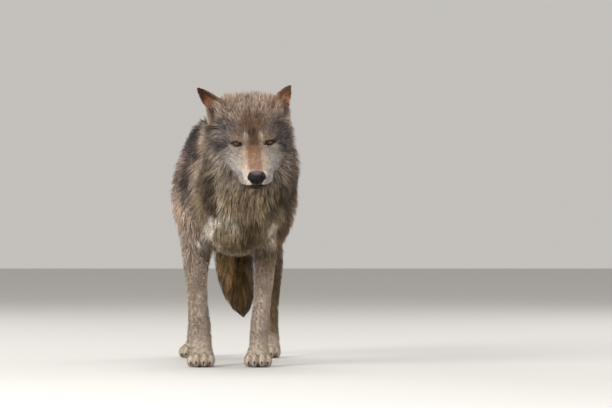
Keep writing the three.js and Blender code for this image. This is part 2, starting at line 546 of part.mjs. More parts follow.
// Parting planes: a point and the way that leads towards the tail.
const NAPE_AT = F(HEAD, [0, 118, -40]), NAPE_WAY = Fway(HEAD, [0, 1, -0.36]);
const THROAT_AT = F(HEAD, [0, 40, -112]), THROAT_WAY = Fway(HEAD, [0, 0.42, -1]);
const COLLAR_AT = [24, -86, 560], COLLAR_WAY = [-0.15, 0.9, -0.28];
const RIB_Y = 235, LOIN_Y = 400;
const region = (mesh, keep, drop = []) => {
  let s = toSolid(mesh);
  for (const k of keep) s = s.intersect(k);
  for (const d of drop) s = s.subtract(d);
  return s;
};
const flip = (v) => v.map((x) => -x);
const shifted = (p, way, d) => { const w = new THREE.Vector3(...way).normalize(); return [p[0] + w.x * d, p[1] + w.y * d, p[2] + w.z * d]; };
const after = (p, way) => beyond(shifted(p, way, GAP / 2), way);
const before = (p, way) => beyond(shifted(p, way, -GAP / 2), flip(way));

// Boxes that hold the legs and the tail; the trunk is cut back from them.
const FORE_TOP = 342, HIND_TOP = 430;
const foreBox = (side, grow = 0) => side < 0
  ? block([-220 - grow, -70 - grow, -40], [-52 + grow, 88 + grow, FORE_TOP + grow])
  : block([44 - grow, -70 - grow, -40], [220 + grow, 88 + grow, FORE_TOP + grow]);
const hindBox = (side, grow = 0) => side < 0
  ? block([-230 - grow, 348 - grow, -40], [-10 - GAP / 2 + 2 * grow, 657 + grow, HIND_TOP + grow])
  : block([-10 + GAP / 2 - 2 * grow, 348 - grow, -40], [230 + grow, 657 + grow, HIND_TOP + grow]);

const tailField = (p) => terms[tailTerm].f(p);
const tailTerm = terms.findIndex((t) => t.k === 16);
const bodyField = (p) => {
  let d = 1e3;
  terms.forEach((t, i) => { if (i !== tailTerm) d = blend(d, t.f(local(t.m, p)), t.k); });
  if (p[1] < -120) d = blend(d, headField(p), 34);
  return d;
};

const trunkMesh = simplified(netMesh(bodyField, [-230, -300, 250], [240, 640, 760], 16), 1150);
const legBoxes = [foreBox(-1, GAP), foreBox(1, GAP), hindBox(-1, GAP), hindBox(1, GAP)];
const legCut = legBoxes.reduce((a, b) => a.add(b));
const tailMesh = simplified(netMesh(tailField, [-90, 500, 90], [80, 730, 660], 11), 380);
const tailSolid = toSolid(tailMesh), tailGrown = toSolid(grown(tailMesh, 0.5));
const TAIL_TOP = 560;
add("chest", region(trunkMesh, [after(COLLAR_AT, COLLAR_WAY), before([0, RIB_Y, 0], [0, 1, 0])], [legCut]), finish.grey);
add("abdomen", region(trunkMesh, [after([0, RIB_Y, 0], [0, 1, 0]), before([0, LOIN_Y, 0], [0, 1, 0])], [legCut]), finish.grey);
add("hips", region(trunkMesh, [after([0, LOIN_Y, 0], [0, 1, 0])], [legCut, tailGrown]), finish.dark);
const TAIL_MID = 330;
add("tail_base", tailSolid.intersect(after([0, 0, TAIL_MID], [0, 0, 1])), finish.dark);
add("tail_tip", tailSolid.intersect(before([0, 0, TAIL_MID], [0, 0, 1])), finish.dark);
const neckMesh = simplified(netMesh(bodyField, [-160, -420, 270], [230, 60, 790], 13), 875);
const neckHead = beyond(shifted(NAPE_AT, NAPE_WAY, GAP / 2), flip(NAPE_WAY)).intersect(beyond(shifted(THROAT_AT, THROAT_WAY, GAP / 2), flip(THROAT_WAY)));
add("neck", region(neckMesh, [before(COLLAR_AT, COLLAR_WAY)], [neckHead]), finish.grey);

// Legs: each is cut across into its lengths.
const legParts = [
  ["foreleg", foreBox, [-190, -100, -12], [-20, 120, FORE_TOP + 24], FORE_SHIFT,
    [["upper", 236, FORE_TOP], ["forearm", 118, 236], ["pastern", 56, 118]], ["forepaw", 56]],
  ["hindleg", hindBox, [-210, 318, -12], [22, 660, HIND_TOP + 24], HIND_SHIFT,
    [["thigh", 318, HIND_TOP], ["shank", 196, 318], ["hock", 58, 196]], ["hindpaw", 58]],
];
for (const [leg, box, lo, hi, shift, cuts, [paw, pawTop]] of legParts)
  for (const side of [-1, 1]) {
    const name = side < 0 ? "right" : "left";
    const l = side < 0 ? lo : [-hi[0] + shift, lo[1], lo[2]], h = side < 0 ? hi : [-lo[0] + shift, hi[1], hi[2]];
    const mesh = simplified(netMesh(bodyField, l, h, 9), leg === "foreleg" ? 420 : 540);
    const all = toSolid(mesh).intersect(box(side));
    for (const [part, low, high] of cuts) {
      let s = all.intersect(after([0, 0, low], [0, 0, 1]));
      if (high < (leg === "foreleg" ? FORE_TOP : HIND_TOP)) s = s.intersect(before([0, 0, high], [0, 0, 1]));
      add(leg + "_" + part + "_" + name, s, part === "upper" || part === "thigh" ? finish.tan : finish.pale);
    }
    // paw, finer, with its flat soles at z = 0 and sockets for the claws
    const f = pawFrames[paw + "_" + name];
    const pm = simplified(netMesh(bodyField, [f.at[0] - 62, f.at[1] - 96, -14], [f.at[0] + 62, f.at[1] + 62, pawTop + 16], 5), 226);
    let p = toSolid(pm).intersect(beyond([0, 0, 0], [0, 0, 1])).intersect(before([0, 0, pawTop], [0, 0, 1]));
    TOES.forEach(([x, y, z, rx, ry], i) => {
      for (const grow of [GAP, 0]) {
        const r = CLAW_R * f.size, l = CLAW_L * f.size;
        const profile = [[0, -grow], [r + grow, -grow], [r * 0.75 + grow, l * 0.6], [0, l + grow]];
        const g = new THREE.LatheGeometry(profile.map((v) => new THREE.Vector2(...v)), 6);
        g.rotateX(Math.PI + CLAW_DROOP); // from up to forward and down
        g.translate(x * f.size, (y - ry + 5) * f.size, (z - 4) * f.size);
        g.applyMatrix4(frameMatrix(f));
        const claw = geometrySolid(g);
        if (grow) p = p.subtract(claw);
        else add("claw_" + paw + "_" + name + "_" + (i + 1), claw, finish.claw);
      }
    });
    add(paw + "_" + name, p, finish.pale);
  }

// Head: skull and muzzle, lower jaw, ears, nose and eyes.
const noseField = (q) => {
  let d = oval([0, -120, -38], [24.5, 17, 13])(q);
  d = blend(d, oval([0, -117, -46.5], [17, 15, 11])(q), 8);
  d = blend(d, oval([0, -107, -32.5], [21, 15, 7.5])(q), 8);
  for (const s of [-1, 1]) d = carve(d, oval([s * 13.5, -138, -42], [5.2, 9, 4.6])(q), 3);
  return d;
};
const inHead = (f) => (p) => f(local(headInverse, p));
const noseBox = [F(HEAD, [0, -115, -40]).map((v) => v - 44), F(HEAD, [0, -115, -40]).map((v) => v + 44)];
const noseMesh = simplified(netMesh(inHead(noseField), ...noseBox, 2.6), 260);
const nose = toSolid(noseMesh), noseGrown = toSolid(grown(noseMesh, GAP));
const headLo = [-110, -530, 400], headHi = [250, -130, 830];
const headMesh = simplified(netMesh(bodyField, headLo, headHi, 6), 1045);
let head = region(headMesh, [before(NAPE_AT, NAPE_WAY), before(THROAT_AT, THROAT_WAY)]);
// ears come off along a plane at their root
const mouthAt = F(HEAD, [0, -118, -69]), mouthWay = Fway(HEAD, [0, -0.1, -1]);
// the ears come off at their roots, each in a box that stands along it
for (const side of [-1, 1]) {
  const which = side < 0 ? "right" : "left";
  const base = new THREE.Vector3(...EAR_BASE[which]), tip = new THREE.Vector3(...EAR_TIP[which]), n = new THREE.Vector3(...EAR_FACES[which]);
  for (const v of [base, tip, n]) v.x *= side;
  const e = tip.clone().sub(base).normalize();
  n.addScaledVector(e, -n.dot(e)).normalize();
  const w = new THREE.Vector3().crossVectors(n, e);
  const box = (grow) => {
    const g = new THREE.BoxGeometry(96 + 2 * grow, 72 + 2 * grow, 120 + grow);
    g.translate(0, 0, EAR_ROOT + 60 - grow / 2);
    g.applyMatrix4(new THREE.Matrix4().makeBasis(w, n, e).setPosition(base));
    g.applyMatrix4(frameMatrix(HEAD));
    return geometrySolid(g);
  };
  const c = F(HEAD, base.clone().addScaledVector(e, 60).toArray());
  const mesh = simplified(netMesh(bodyField, c.map((v) => v - 84), c.map((v) => v + 84), 3.2), 440);
  add(side < 0 ? "ear_right" : "ear_left", toSolid(mesh).intersect(box(0)).intersect(before(NAPE_AT, NAPE_WAY)), finish.rust);
  head = head.subtract(box(GAP));
}
head = head.subtract(noseGrown);
// eyes
for (const side of [-1, 1]) {
  const c = F(HEAD, [EYE[0] * side, EYE[1], EYE[2]]);
  const ball = (r) => { const g = new THREE.SphereGeometry(r, 12, 8); g.rotateX(Math.PI / 2); g.translate(...c); return geometrySolid(g); };
  head = head.subtract(ball(EYE_R + GAP));
  add(side < 0 ? "eye_right" : "eye_left", ball(EYE_R), finish.eye);
}
// lower jaw, parted along the line of the lips
const lip = beyond(mouthAt, mouthWay), throatAt = F(HEAD, [0, 12, -60]), throatWay = Fway(HEAD, [0, -1, -0.25]);
const front = beyond(throatAt, throatWay);
const jawZone = lip.intersect(front);
const jawZoneGrown = beyond(shifted(mouthAt, mouthWay, -GAP), mouthWay).intersect(beyond(shifted(throatAt, throatWay, -GAP), throatWay));
add("jaw", head.intersect(jawZone), finish.pale);
add("head", head.subtract(jawZoneGrown), finish.grey);
add("nose", nose, finish.nose);

export default wolf;
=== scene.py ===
# Looks of a life-size standing timber wolf: one skin, eyes, claws and a coat of mesh tufts.
# All shapes are worked out in millimetres in the animal's own frame (x to its left, y backwards,
# z up, origin between the forefeet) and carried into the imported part's frame at the end.
import math
from concurrent.futures import ThreadPoolExecutor

import bpy
import numpy as np
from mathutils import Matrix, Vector
from mathutils.kdtree import KDTree


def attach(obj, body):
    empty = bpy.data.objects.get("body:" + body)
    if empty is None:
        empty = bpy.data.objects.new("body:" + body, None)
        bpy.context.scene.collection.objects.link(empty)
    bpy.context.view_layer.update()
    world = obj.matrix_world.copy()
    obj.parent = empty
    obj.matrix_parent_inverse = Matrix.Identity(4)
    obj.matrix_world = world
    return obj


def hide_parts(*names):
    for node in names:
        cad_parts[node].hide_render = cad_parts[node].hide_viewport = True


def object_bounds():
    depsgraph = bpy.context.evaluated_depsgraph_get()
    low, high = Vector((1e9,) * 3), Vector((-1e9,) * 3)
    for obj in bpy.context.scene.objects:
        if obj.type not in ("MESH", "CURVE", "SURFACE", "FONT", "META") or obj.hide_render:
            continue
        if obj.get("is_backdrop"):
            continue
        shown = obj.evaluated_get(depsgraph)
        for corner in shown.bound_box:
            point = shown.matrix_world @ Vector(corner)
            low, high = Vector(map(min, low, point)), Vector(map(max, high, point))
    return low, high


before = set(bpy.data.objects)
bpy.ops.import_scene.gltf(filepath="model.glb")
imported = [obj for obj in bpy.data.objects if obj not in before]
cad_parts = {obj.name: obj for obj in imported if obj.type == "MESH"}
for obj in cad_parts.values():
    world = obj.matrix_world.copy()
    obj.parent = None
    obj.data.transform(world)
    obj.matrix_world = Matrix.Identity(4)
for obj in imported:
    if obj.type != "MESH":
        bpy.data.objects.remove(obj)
cad_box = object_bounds()

# ------------------------------------------------------------------ sizes (mm)
ORIGIN = np.array([11.2, 129.72, 0.0])
EYE_R = 12.2
EYE = [43.5, 8.5, -5.5]
HEAD = dict(at=[64.5, -350, 621], yaw=6, pitch=32, roll=-3)
NECK = dict(at=[8, 0, 545], yaw=9.8, pitch=-17.9, roll=0)
WORLD = dict(at=[0, 0, 0], yaw=0, pitch=0, roll=0)
FORE_SHIFT, FORE_SLIM, HIND_SHIFT, HIND_BOW = -11, 0.91, -18, 14
FORE_PAW_RIGHT = dict(at=[-84, -30, 0], yaw=-3, pitch=0, roll=0)
FORE_PAW_LEFT = dict(at=[73, -30, 0], yaw=1, pitch=0, roll=0)
HIND_PAW_RIGHT = dict(at=[-128, 560, 0], yaw=-8, pitch=0, roll=0)
HIND_PAW_LEFT = dict(at=[98, 560, 0], yaw=-3, pitch=0, roll=0)
CLAW_R, CLAW_L, CLAW_DROOP = 3.1, 17, 0.45

# Lofts: station, centre 1, centre 2, half-width, reach up or back, reach down or front
TRUNK = [
    [-130, 18, 500, 110, 146, 165], [-60, 17, 500, 139, 178, 186], [0, 16, 494, 154, 202, 190],
    [80, 13, 488, 158, 206, 178], [170, 6, 488, 157, 197, 166], [270, -2, 495, 150, 186, 152],
    [360, -8, 508, 139, 174, 134], [440, -10, 522, 132, 162, 116], [510, -10, 532, 127, 147, 108],
    [550, -10, 538, 108, 118, 94]]
NECK_ROWS = [
    [-250, 0, 0, 118, 96, 112], [-180, 0, 0, 128, 112, 134], [-100, 0, 0, 136, 128, 150],
    [-30, 0, 0, 142, 140, 160], [25, 0, 0, 144, 142, 160]]
FORELEG = [
    [18, -84, -22, 30, 30, 30], [45, -84.5, -22, 31, 29, 30], [78, -86, -13, 30, 27, 29],
    [129, -90, -5, 30, 30, 31], [160, -93, -4, 28.5, 31, 30], [200, -97, -3, 29.5, 34, 31],
    [269, -102, 0, 34, 41, 36], [325, -107, 4, 38, 52, 42], [365, -109, 8, 41, 62, 50],
    [420, -111, 6, 45, 74, 66], [480, -106, 5, 50, 78, 74]]
HINDLEG = [
    [18, -123, 576, 26, 26, 27], [60, -122, 582, 25, 25, 26], [100, -121, 588, 23, 25, 24],
    [150, -120, 592, 24, 30, 26], [185, -118, 586, 26, 37, 32], [212, -116, 566, 27.5, 44, 38],
    [250, -112, 530, 32, 52, 46], [300, -108, 492, 40, 70, 58], [350, -104, 462, 48, 92, 70],
    [410, -100, 455, 57, 102, 88], [480, -92, 468, 62, 100, 102], [560, -78, 484, 58, 82, 88]]
TAIL = [
    [122, 19, 652, 9, 9, 9], [140, 15, 652, 27, 24, 24], [165, 10, 653, 42, 38, 38],
    [210, 3, 654, 54, 48, 46], [290, -7, 655, 65, 52, 48], [380, -10, 654, 63, 50, 47],
    [460, -10, 648, 54, 46, 42], [530, -10, 634, 44, 42, 38], [585, -10, 604, 40, 40, 40],
    [615, -10, 572, 36, 36, 40]]
MUZZLE = [
    [-119, 0, -50, 29, 27, 26], [-105, 0, -49, 34, 28.5, 30], [-80, 0, -47, 38, 29.5, 32],
    [-50, 0, -43, 42, 31.5, 35], [-20, 0, -38.5, 47, 34.5, 39], [12, 0, -31, 54, 38, 46]]
JAW = [
    [-91, 0, -80, 17, 10, 12], [-78, 0, -81, 22, 12, 14], [-50, 0, -82, 31, 14, 16],
    [-10, 0, -80.5, 42, 18, 20], [35, 0, -75, 54, 24, 30]]
EAR = dict(half=30, thick=7.5, hollow=0.42)
EAR_BASE = {-1: [72, 96, 38], 1: [67, 96, 38]}
EAR_FACES = {-1: [0.62, -0.72, 0.1], 1: [0.42, -0.89, 0.1]}
EAR_TIP = {-1: [143, 142, 95], 1: [114, 140, 93]}
ROUND = 3
TOES = [[-27, -30, 18, 13.5, 25, 19.5], [-10.5, -46, 20, 13.5, 27, 21.5],
        [10.5, -46, 20, 13.5, 27, 21.5], [27, -30, 18, 13.5, 25, 19.5]]
PAW_MASSES = [[[0, 2, 26], [33, 38, 27], 14], [[0, -14, 26], [34, 34, 22], 12], [[0, 16, 9], [26, 24, 14], 10]]


# ------------------------------------------------------------------ colours
def tone(r, g, b):
    c = np.array([r, g, b], float) / 255
    return np.where(c <= 0.04045, c / 12.92, ((c + 0.055) / 1.055) ** 2.4)


C_SADDLE = tone(86, 79, 73)
C_MANTLE = tone(115, 104, 92)
C_FLANK = tone(160, 142, 122)
# shoulder colours: the coat's own tone, with painted light on the right shoulder and painted shade on the left, as if
# lit from the animal's right
C_SHOULDER_WITH_PAINTED_SIDE_LIGHT = {-1: tone(188, 166, 149), 1: tone(112, 92, 69) * np.array([0.6, 0.48, 0.34])}
C_JOWL = tone(151, 137, 121)
C_BELLY = tone(178, 160, 136)
C_CHEST = tone(134, 116, 90)
C_RUFF = tone(160, 144, 131)
C_THROAT = tone(142, 125, 101)
C_HAUNCH = tone(140, 120, 95)
C_TAIL = tone(158, 130, 92)
C_LEG = tone(173, 155, 139) * 0.91
C_LEG_LOW = tone(153, 138, 125) * 0.84
C_PAW = tone(190, 175, 157) * 0.86
C_HIND = tone(122, 100, 77)
C_CROWN = tone(168, 146, 129)
C_FOREHEAD = tone(120, 96, 79)
C_TEMPLE = tone(89, 80, 80)
C_CHEEK = tone(154, 144, 136)
C_MUZZLE_TOP = tone(158, 123, 94)
C_MUZZLE_SIDE = tone(194, 175, 154)
C_WHITE = tone(175, 169, 164)
C_DARK = tone(62, 53, 48)
C_BLACK = tone(30, 26, 25)
C_EAR_IN = tone(150, 106, 76)
C_EAR_BACK = tone(112, 84, 62)
C_EAR_DARK = tone(78, 52, 40)


# ------------------------------------------------------------------ the field
def turned(f):
    """Rotation (columns are the frame's axes in the world) and origin of a frame."""
    y, p, r = (math.radians(f[k]) for k in ("yaw", "pitch", "roll"))
    rz = np.array([[math.cos(y), -math.sin(y), 0], [math.sin(y), math.cos(y), 0], [0, 0, 1]])
    rx = np.array([[1, 0, 0], [0, math.cos(p), -math.sin(p)], [0, math.sin(p), math.cos(p)]])
    ry = np.array([[math.cos(r), 0, math.sin(r)], [0, 1, 0], [-math.sin(r), 0, math.cos(r)]])
    return rz @ rx @ ry, np.array(f["at"], float)


def smin(a, b, k):
    h = np.maximum(k - np.abs(a - b), 0) / k
    return np.minimum(a, b) - h * h * k * 0.25


def smax(a, b, k):
    return -smin(-a, -b, k)


def curves(rows, n=240):
    s = [r[0] for r in rows]
    last = len(rows) - 1
    step = (s[last] - s[0]) / n
    cols = []
    for c in range(1, len(rows[0])):
        v = [r[c] for r in rows]
        m = []
        for i in range(len(v)):
            if i == 0:
                m.append((v[1] - v[0]) / (s[1] - s[0]))
            elif i == last:
                m.append((v[i] - v[i - 1]) / (s[i] - s[i - 1]))
            else:
                a, b = s[i] - s[i - 1], s[i + 1] - s[i]
                m.append((((v[i] - v[i - 1]) / a) * b + ((v[i + 1] - v[i]) / b) * a) / (a + b))
        x = s[0] + step * np.arange(n + 1)
        i = np.clip(np.searchsorted(s, x, side="left") - 1, 0, last - 1)
        sa, va, ma = np.array(s, float), np.array(v, float), np.array(m)
        h = sa[i + 1] - sa[i]
        t = (x - sa[i]) / h
        cols.append((2 * t**3 - 3 * t**2 + 1) * va[i] + (t**3 - 2 * t**2 + t) * h * ma[i]
                    + (-2 * t**3 + 3 * t**2) * va[i + 1] + (t**3 - t**2) * h * ma[i + 1])
    return s[0], s[last], step, n, cols


def loft(axis, rows, cap0, cap1, power=2.0):
    s0, s1, step, n, (A, B, W, U, D) = curves(rows)
    along, across = (1, 2) if axis == "y" else (2, 1)

    def f(p):
        s = p[:, along]
        g = np.clip((s - s0) / step, 0, n - 1e-6)
        i = g.astype(np.int32)
        u = g - i
        at = lambda T: T[i] + (T[i + 1] - T[i]) * u
        slope = lambda T: (T[i + 1] - T[i]) / step
        a, b = p[:, 0] - at(A), p[:, across] - at(B)
        w, up = at(W), b > 0
        h = np.where(up, at(U), at(D))
        cap = np.where(s < s0, cap0, cap1)
        over = np.where(s < s0, (s0 - s) / cap0, np.where(s > s1, (s - s1) / cap1, 0.0))
        x, z = np.abs(a) / w, np.abs(b) / h
        k = np.hypot(x, z) if power == 2 else (x**power + z**power) ** (1 / power)
        k0 = np.hypot(k, over)
        gx, gz = x / w, z / h
        k1 = np.sqrt(gx**2 + gz**2 + (over / cap) ** 2)
        d = k0 * (k0 - 1) / np.maximum(k1, 1e-9)
        norm = np.maximum(np.hypot(gx, gz), 1e-9)
        m = slope(A) * np.sign(a) * gx / norm + slope(B) * np.sign(b) * gz / norm + slope(W) * gx / norm \
            + np.where(up, slope(U), slope(D)) * gz / norm
        d = np.where(over > 0, d, d / np.sqrt(1 + m * m))
        return np.where(k0 < 1e-6, -np.minimum(w, h), d)

    ext = np.array([[r[1] - r[3], r[1] + r[3], r[2] - max(r[4], r[5]), r[2] + max(r[4], r[5])] for r in rows], float)
    lo, hi = np.zeros(3), np.zeros(3)
    lo[0], hi[0] = ext[:, 0].min(), ext[:, 1].max()
    lo[across], hi[across] = ext[:, 2].min(), ext[:, 3].max()
    lo[along], hi[along] = s0 - cap0, s1 + cap1
    return f, lo, hi


def oval(c, r, turn=0.0):
    c, r = np.array(c, float), np.array(r, float)
    cs, sn = math.cos(math.radians(turn)), math.sin(math.radians(turn))

    def f(p):
        q = p - c
        x, y, z = q[:, 0], q[:, 1] * cs + q[:, 2] * sn, -q[:, 1] * sn + q[:, 2] * cs
        k0 = np.sqrt((x / r[0]) ** 2 + (y / r[1]) ** 2 + (z / r[2]) ** 2)
        k1 = np.sqrt((x / r[0] ** 2) ** 2 + (y / r[1] ** 2) ** 2 + (z / r[2] ** 2) ** 2)
        return np.where(k1 < 1e-9, -r.min(), k0 * (k0 - 1) / np.maximum(k1, 1e-9))

    b = np.array([r[0], max(r[1], r[2]), max(r[1], r[2])]) if turn else r
    return f, c - b, c + b


def ear_axes(side):
    base, tip, n = (np.array(v, float) for v in (EAR_BASE[side], EAR_TIP[side], EAR_FACES[side]))
    base[0] *= side
    tip[0] *= side
    n[0] *= side
    e = tip - base
    length = np.linalg.norm(e)
    e /= length
    n -= e * n.dot(e)
    n /= np.linalg.norm(n)
    return base, e, n, np.cross(n, e), length


def ear_local(p, side):
    base, e, n, w, length = ear_axes(side)
    q = p - base
    return q @ w, q @ n, q @ e, length


def ear(side):
    base, e, n, w, length = ear_axes(side)

    def f(p):
        x, y, h, _ = ear_local(p, side)
        t = h / length
        tc = np.clip(t, 0, 1)
        half = EAR["half"] * (1 - tc**1.7) ** 0.8 * (0.94 + 0.22 * np.minimum(tc * 3, 1)) + 2
        depth = EAR["hollow"] * half * (1 - 0.35 * tc)
        r = np.minimum(np.abs(x) / half, 1.4)
        mid, slope = depth * (r * r - 0.35), 2 * depth * r / half
        thick = EAR["thick"] * (0.55 + 0.35 * (1 - tc)) + 6 * np.maximum(0, 0.35 - t)
        sheet = np.abs(y - mid) / np.hypot(1, slope) - thick + ROUND
        out = np.maximum(np.maximum((np.abs(x) - half) * 0.85, h - length), -h - 26) + ROUND
        return np.hypot(np.maximum(sheet, 0), np.maximum(out, 0)) + np.minimum(np.maximum(sheet, out), 0) - ROUND

    c = base + e * length / 2
    return f, c - 80, c + 80


def table(*rows):
    x, y = [r[0] for r in rows], [r[1] for r in rows]
    return lambda s: np.interp(s, x, y)


def up_to(a, b, t):
    return a + (b - a) * t[:, None]


def smooth(lo, hi, x):
    t = np.clip((x - lo) / (hi - lo), 0, 1)
    return t * t * (3 - 2 * t)


RNG = np.random.default_rng(20)
LATTICE = RNG.random((32, 32, 32)) * 2 - 1


def noise(p, scale, seed=0):
    q = p / scale + seed * 7.31
    i = np.floor(q).astype(np.int64)
    f = q - i
    f = f * f * (3 - 2 * f)
    out = 0
    for dx in (0, 1):
        for dy in (0, 1):
            for dz in (0, 1):
                w = (f[:, 0] if dx else 1 - f[:, 0]) * (f[:, 1] if dy else 1 - f[:, 1]) * (f[:, 2] if dz else 1 - f[:, 2])
                out = out + w * LATTICE[(i[:, 0] + dx) % 32, (i[:, 1] + dy) % 32, (i[:, 2] + dz) % 32]
    return out


class Term:
    """One mass of the body: its field, and the coat on it: depth, hair length, lie, colour and pepper."""

    def __init__(self, name, frame_, made, k, T, L, flow, col, pepper):
        self.fn, lo, hi = made
        self.name, self.k, self.T, self.L, self.pepper = name, k, T, L, pepper
        R, at = turned(frame_)
        self.R, self.at = R, at
        corners = np.array([[(lo, hi)[(i >> a) & 1][a] for a in range(3)] for i in range(8)]) @ R.T + at
        self.lo, self.hi = corners.min(0), corners.max(0)
        self.flow, self.col = flow, col

    def local(self, p):
        return (p - self.at) @ self.R

    def coat(self, q):
        n = len(q)
        T, L, pepper = (np.asarray(v(q) if callable(v) else v, float) * np.ones(n) for v in (self.T, self.L, self.pepper))
        flow = (self.flow(q) if callable(self.flow) else np.array(self.flow, float)) * np.ones((n, 3))
        flow = flow / np.maximum(np.linalg.norm(flow, axis=1, keepdims=True), 1e-9)
        col = (self.col(q) if callable(self.col) else self.col) * np.ones((n, 3))
        return T, L, flow @ self.R.T, col, pepper


BODY, HEADS = [], []


def body(name, frame_, made, k, T, L, flow, col, pepper):
    BODY.append(Term(name, frame_, made, k, T, L, flow, col, pepper))


def head(name, made, k, T, L, flow, col, pepper):
    HEADS.append(Term(name, HEAD, made, k, T, L, flow, col, pepper))


# trunk: darker along the back, paler below, hair running back and a little down
def trunk_T(q):
    return table((-130, 42), (0, 43), (170, 37), (360, 31), (550, 27))(q[:, 1]) * np.where(q[:, 2] < 430, 0.82, 1.0)


def trunk_flow(q):
    side = smooth(0, 120, np.abs(q[:, 0]))
    low = smooth(560, 380, q[:, 2])
    return np.stack([q[:, 0] * 0.001, np.ones(len(q)), -0.12 - 0.3 * side - 0.25 * low], 1)


def trunk_col(q):
    top = smooth(520, 650, q[:, 2] + 16 * noise(q, 70, 3))
    low = smooth(420, 350, q[:, 2] + 12 * noise(q, 50, 4))
    c = up_to(C_FLANK, C_SADDLE, top)
    return c + (C_BELLY - c) * low[:, None]


def trunk_pepper(q):
    return 0.25 + 0.6 * smooth(500, 650, q[:, 2])


body("trunk", WORLD, loft("y", TRUNK, 78, 46), 1, trunk_T, lambda q: table((-130, 56), (0, 58), (170, 54), (360, 48), (550, 44))(q[:, 1]), trunk_flow, trunk_col, trunk_pepper)
body("neck", NECK, loft("y", NECK_ROWS, 50, 60), 60, 41, 54,
     lambda q: np.stack([q[:, 0] * 0.0035, np.ones(len(q)), -0.1 - 0.75 * smooth(70, -60, q[:, 2])], 1),
     lambda q: up_to(C_RUFF, C_MANTLE, smooth(20, 90, q[:, 2])), lambda q: 0.3 + 0.45 * smooth(20, 90, q[:, 2]))
for name, c, r, turn, k, T, L, flow, col, pepper in [
    ("breast", [20, -165, 450], [108, 82, 122], 0, 60, 42, 56, (0, 0.1, -1), C_CHEST, 0.25),
    ("bib", [36, -206, 468], [104, 78, 120], 0, 60, 42, 56, (0, 0.1, -1), C_CHEST, 0.2),
    ("throat", [50, -244, 520], [112, 70, 104], 0, 55, 38, 50, (0, 0.3, -1), C_THROAT, 0.15),
    ("withers", [8, 40, 600], [92, 130, 104], 0, 60, 44, 64, (0, 1, -0.1), C_SADDLE, 0.85),
    ("shoulder_right", [-110, 2, 484], [58, 86, 114], 8, 40, 33, 52, (0, 0.55, -0.85), C_SHOULDER_WITH_PAINTED_SIDE_LIGHT[-1], 0.3),
    ("shoulder_left", [122, 2, 472], [58, 86, 130], 8, 40, 33, 52, (0, 0.55, -0.85), C_SHOULDER_WITH_PAINTED_SIDE_LIGHT[1], 0.4),
    ("ruff_left", [124, -240, 556], [68, 78, 70], 0, 50, 40, 52, (0.25, 0.35, -0.9), C_RUFF, 0.35),
    ("withers_right", [-42, 60, 606], [84, 112, 92], 0, 50, 42, 62, (0, 1, -0.25), C_SADDLE, 0.85),
    ("croup", [-10, 480, 590], [104, 120, 92], 0, 60, 31, 56, (0, 1, -0.25), C_SADDLE, 0.75),
    ("haunch_right", [-92, 480, 500], [66, 98, 118], -8, 40, 28, 48, (0, 0.6, -0.8), C_HAUNCH, 0.4),
    ("haunch_left", [74, 480, 500], [66, 98, 118], -8, 40, 28, 48, (0, 0.6, -0.8), C_HAUNCH, 0.4),
    ("flank_fringe", [-6, 330, 400], [96, 110, 50], 0, 50, 28, 58, (0, 0.8, -0.55), C_BELLY, 0.15),
]:
    body(name, WORLD, oval(c, r, turn), k, T, L, flow, col, pepper)

leg_T = table((18, 3), (100, 4), (150, 5), (200, 6), (269, 9), (325, 15), (365, 21), (420, 28))
leg_L = table((18, 8), (100, 11), (200, 14), (269, 20), (325, 31), (420, 48))
hind_T = table((18, 3), (100, 4), (150, 5), (212, 8), (250, 12), (300, 18), (350, 24), (410, 28))
hind_L = table((18, 8), (100, 11), (150, 14), (212, 20), (300, 33), (350, 42), (410, 48))


def leg_col(cx, side):
    def f(q):
        z = q[:, 2]
        c = up_to(C_LEG_LOW, C_LEG, smooth(110, 240, z))
        # the top of the leg takes the shoulder colour, with its painted side light and shade
        c = c + (C_SHOULDER_WITH_PAINTED_SIDE_LIGHT[side] - c) * smooth(290, 400, z)[:, None]
        # the left foreleg, on the side away from the key lamp: painted shade on its upper part, and paler lower down
        if side > 0:
            c = c * (1 - np.array([0.36, 0.4, 0.52]) * smooth(235, 300, z)[:, None] + 0.17 * smooth(230, 120, z)[:, None])
        stripe = smooth(20, 4, np.abs(q[:, 0] - cx(z) + side * 6)) * smooth(140, 210, z) * smooth(0, -12, q[:, 1]) * smooth(-0.5, 0.3, noise(q, 12, 5) + 0.4)
        c = c + (C_DARK * 2.2 - c) * (0.26 * stripe)[:, None]
        # paler outer side of each leg: partly pale fur, partly painted light along the edge
        outer = smooth(10, 26, (q[:, 0] - cx(z)) * side) * smooth(330, 240, z)
        return c + (C_MUZZLE_SIDE - c) * (0.45 * outer)[:, None]
    return f


def hind_col(q):
    z = q[:, 2]
    c = up_to(C_LEG_LOW, C_HIND, smooth(45, 230, z + 14 * noise(q, 24, 12)))
    # painted shade on the left hind leg, the side away from the key lamp
    c = c + (C_HIND * 0.75 - c) * (smooth(0, 20, q[:, 0]) * smooth(45, 80, z))[:, None]
    return c + (C_HAUNCH - c) * smooth(260, 380, z)[:, None]


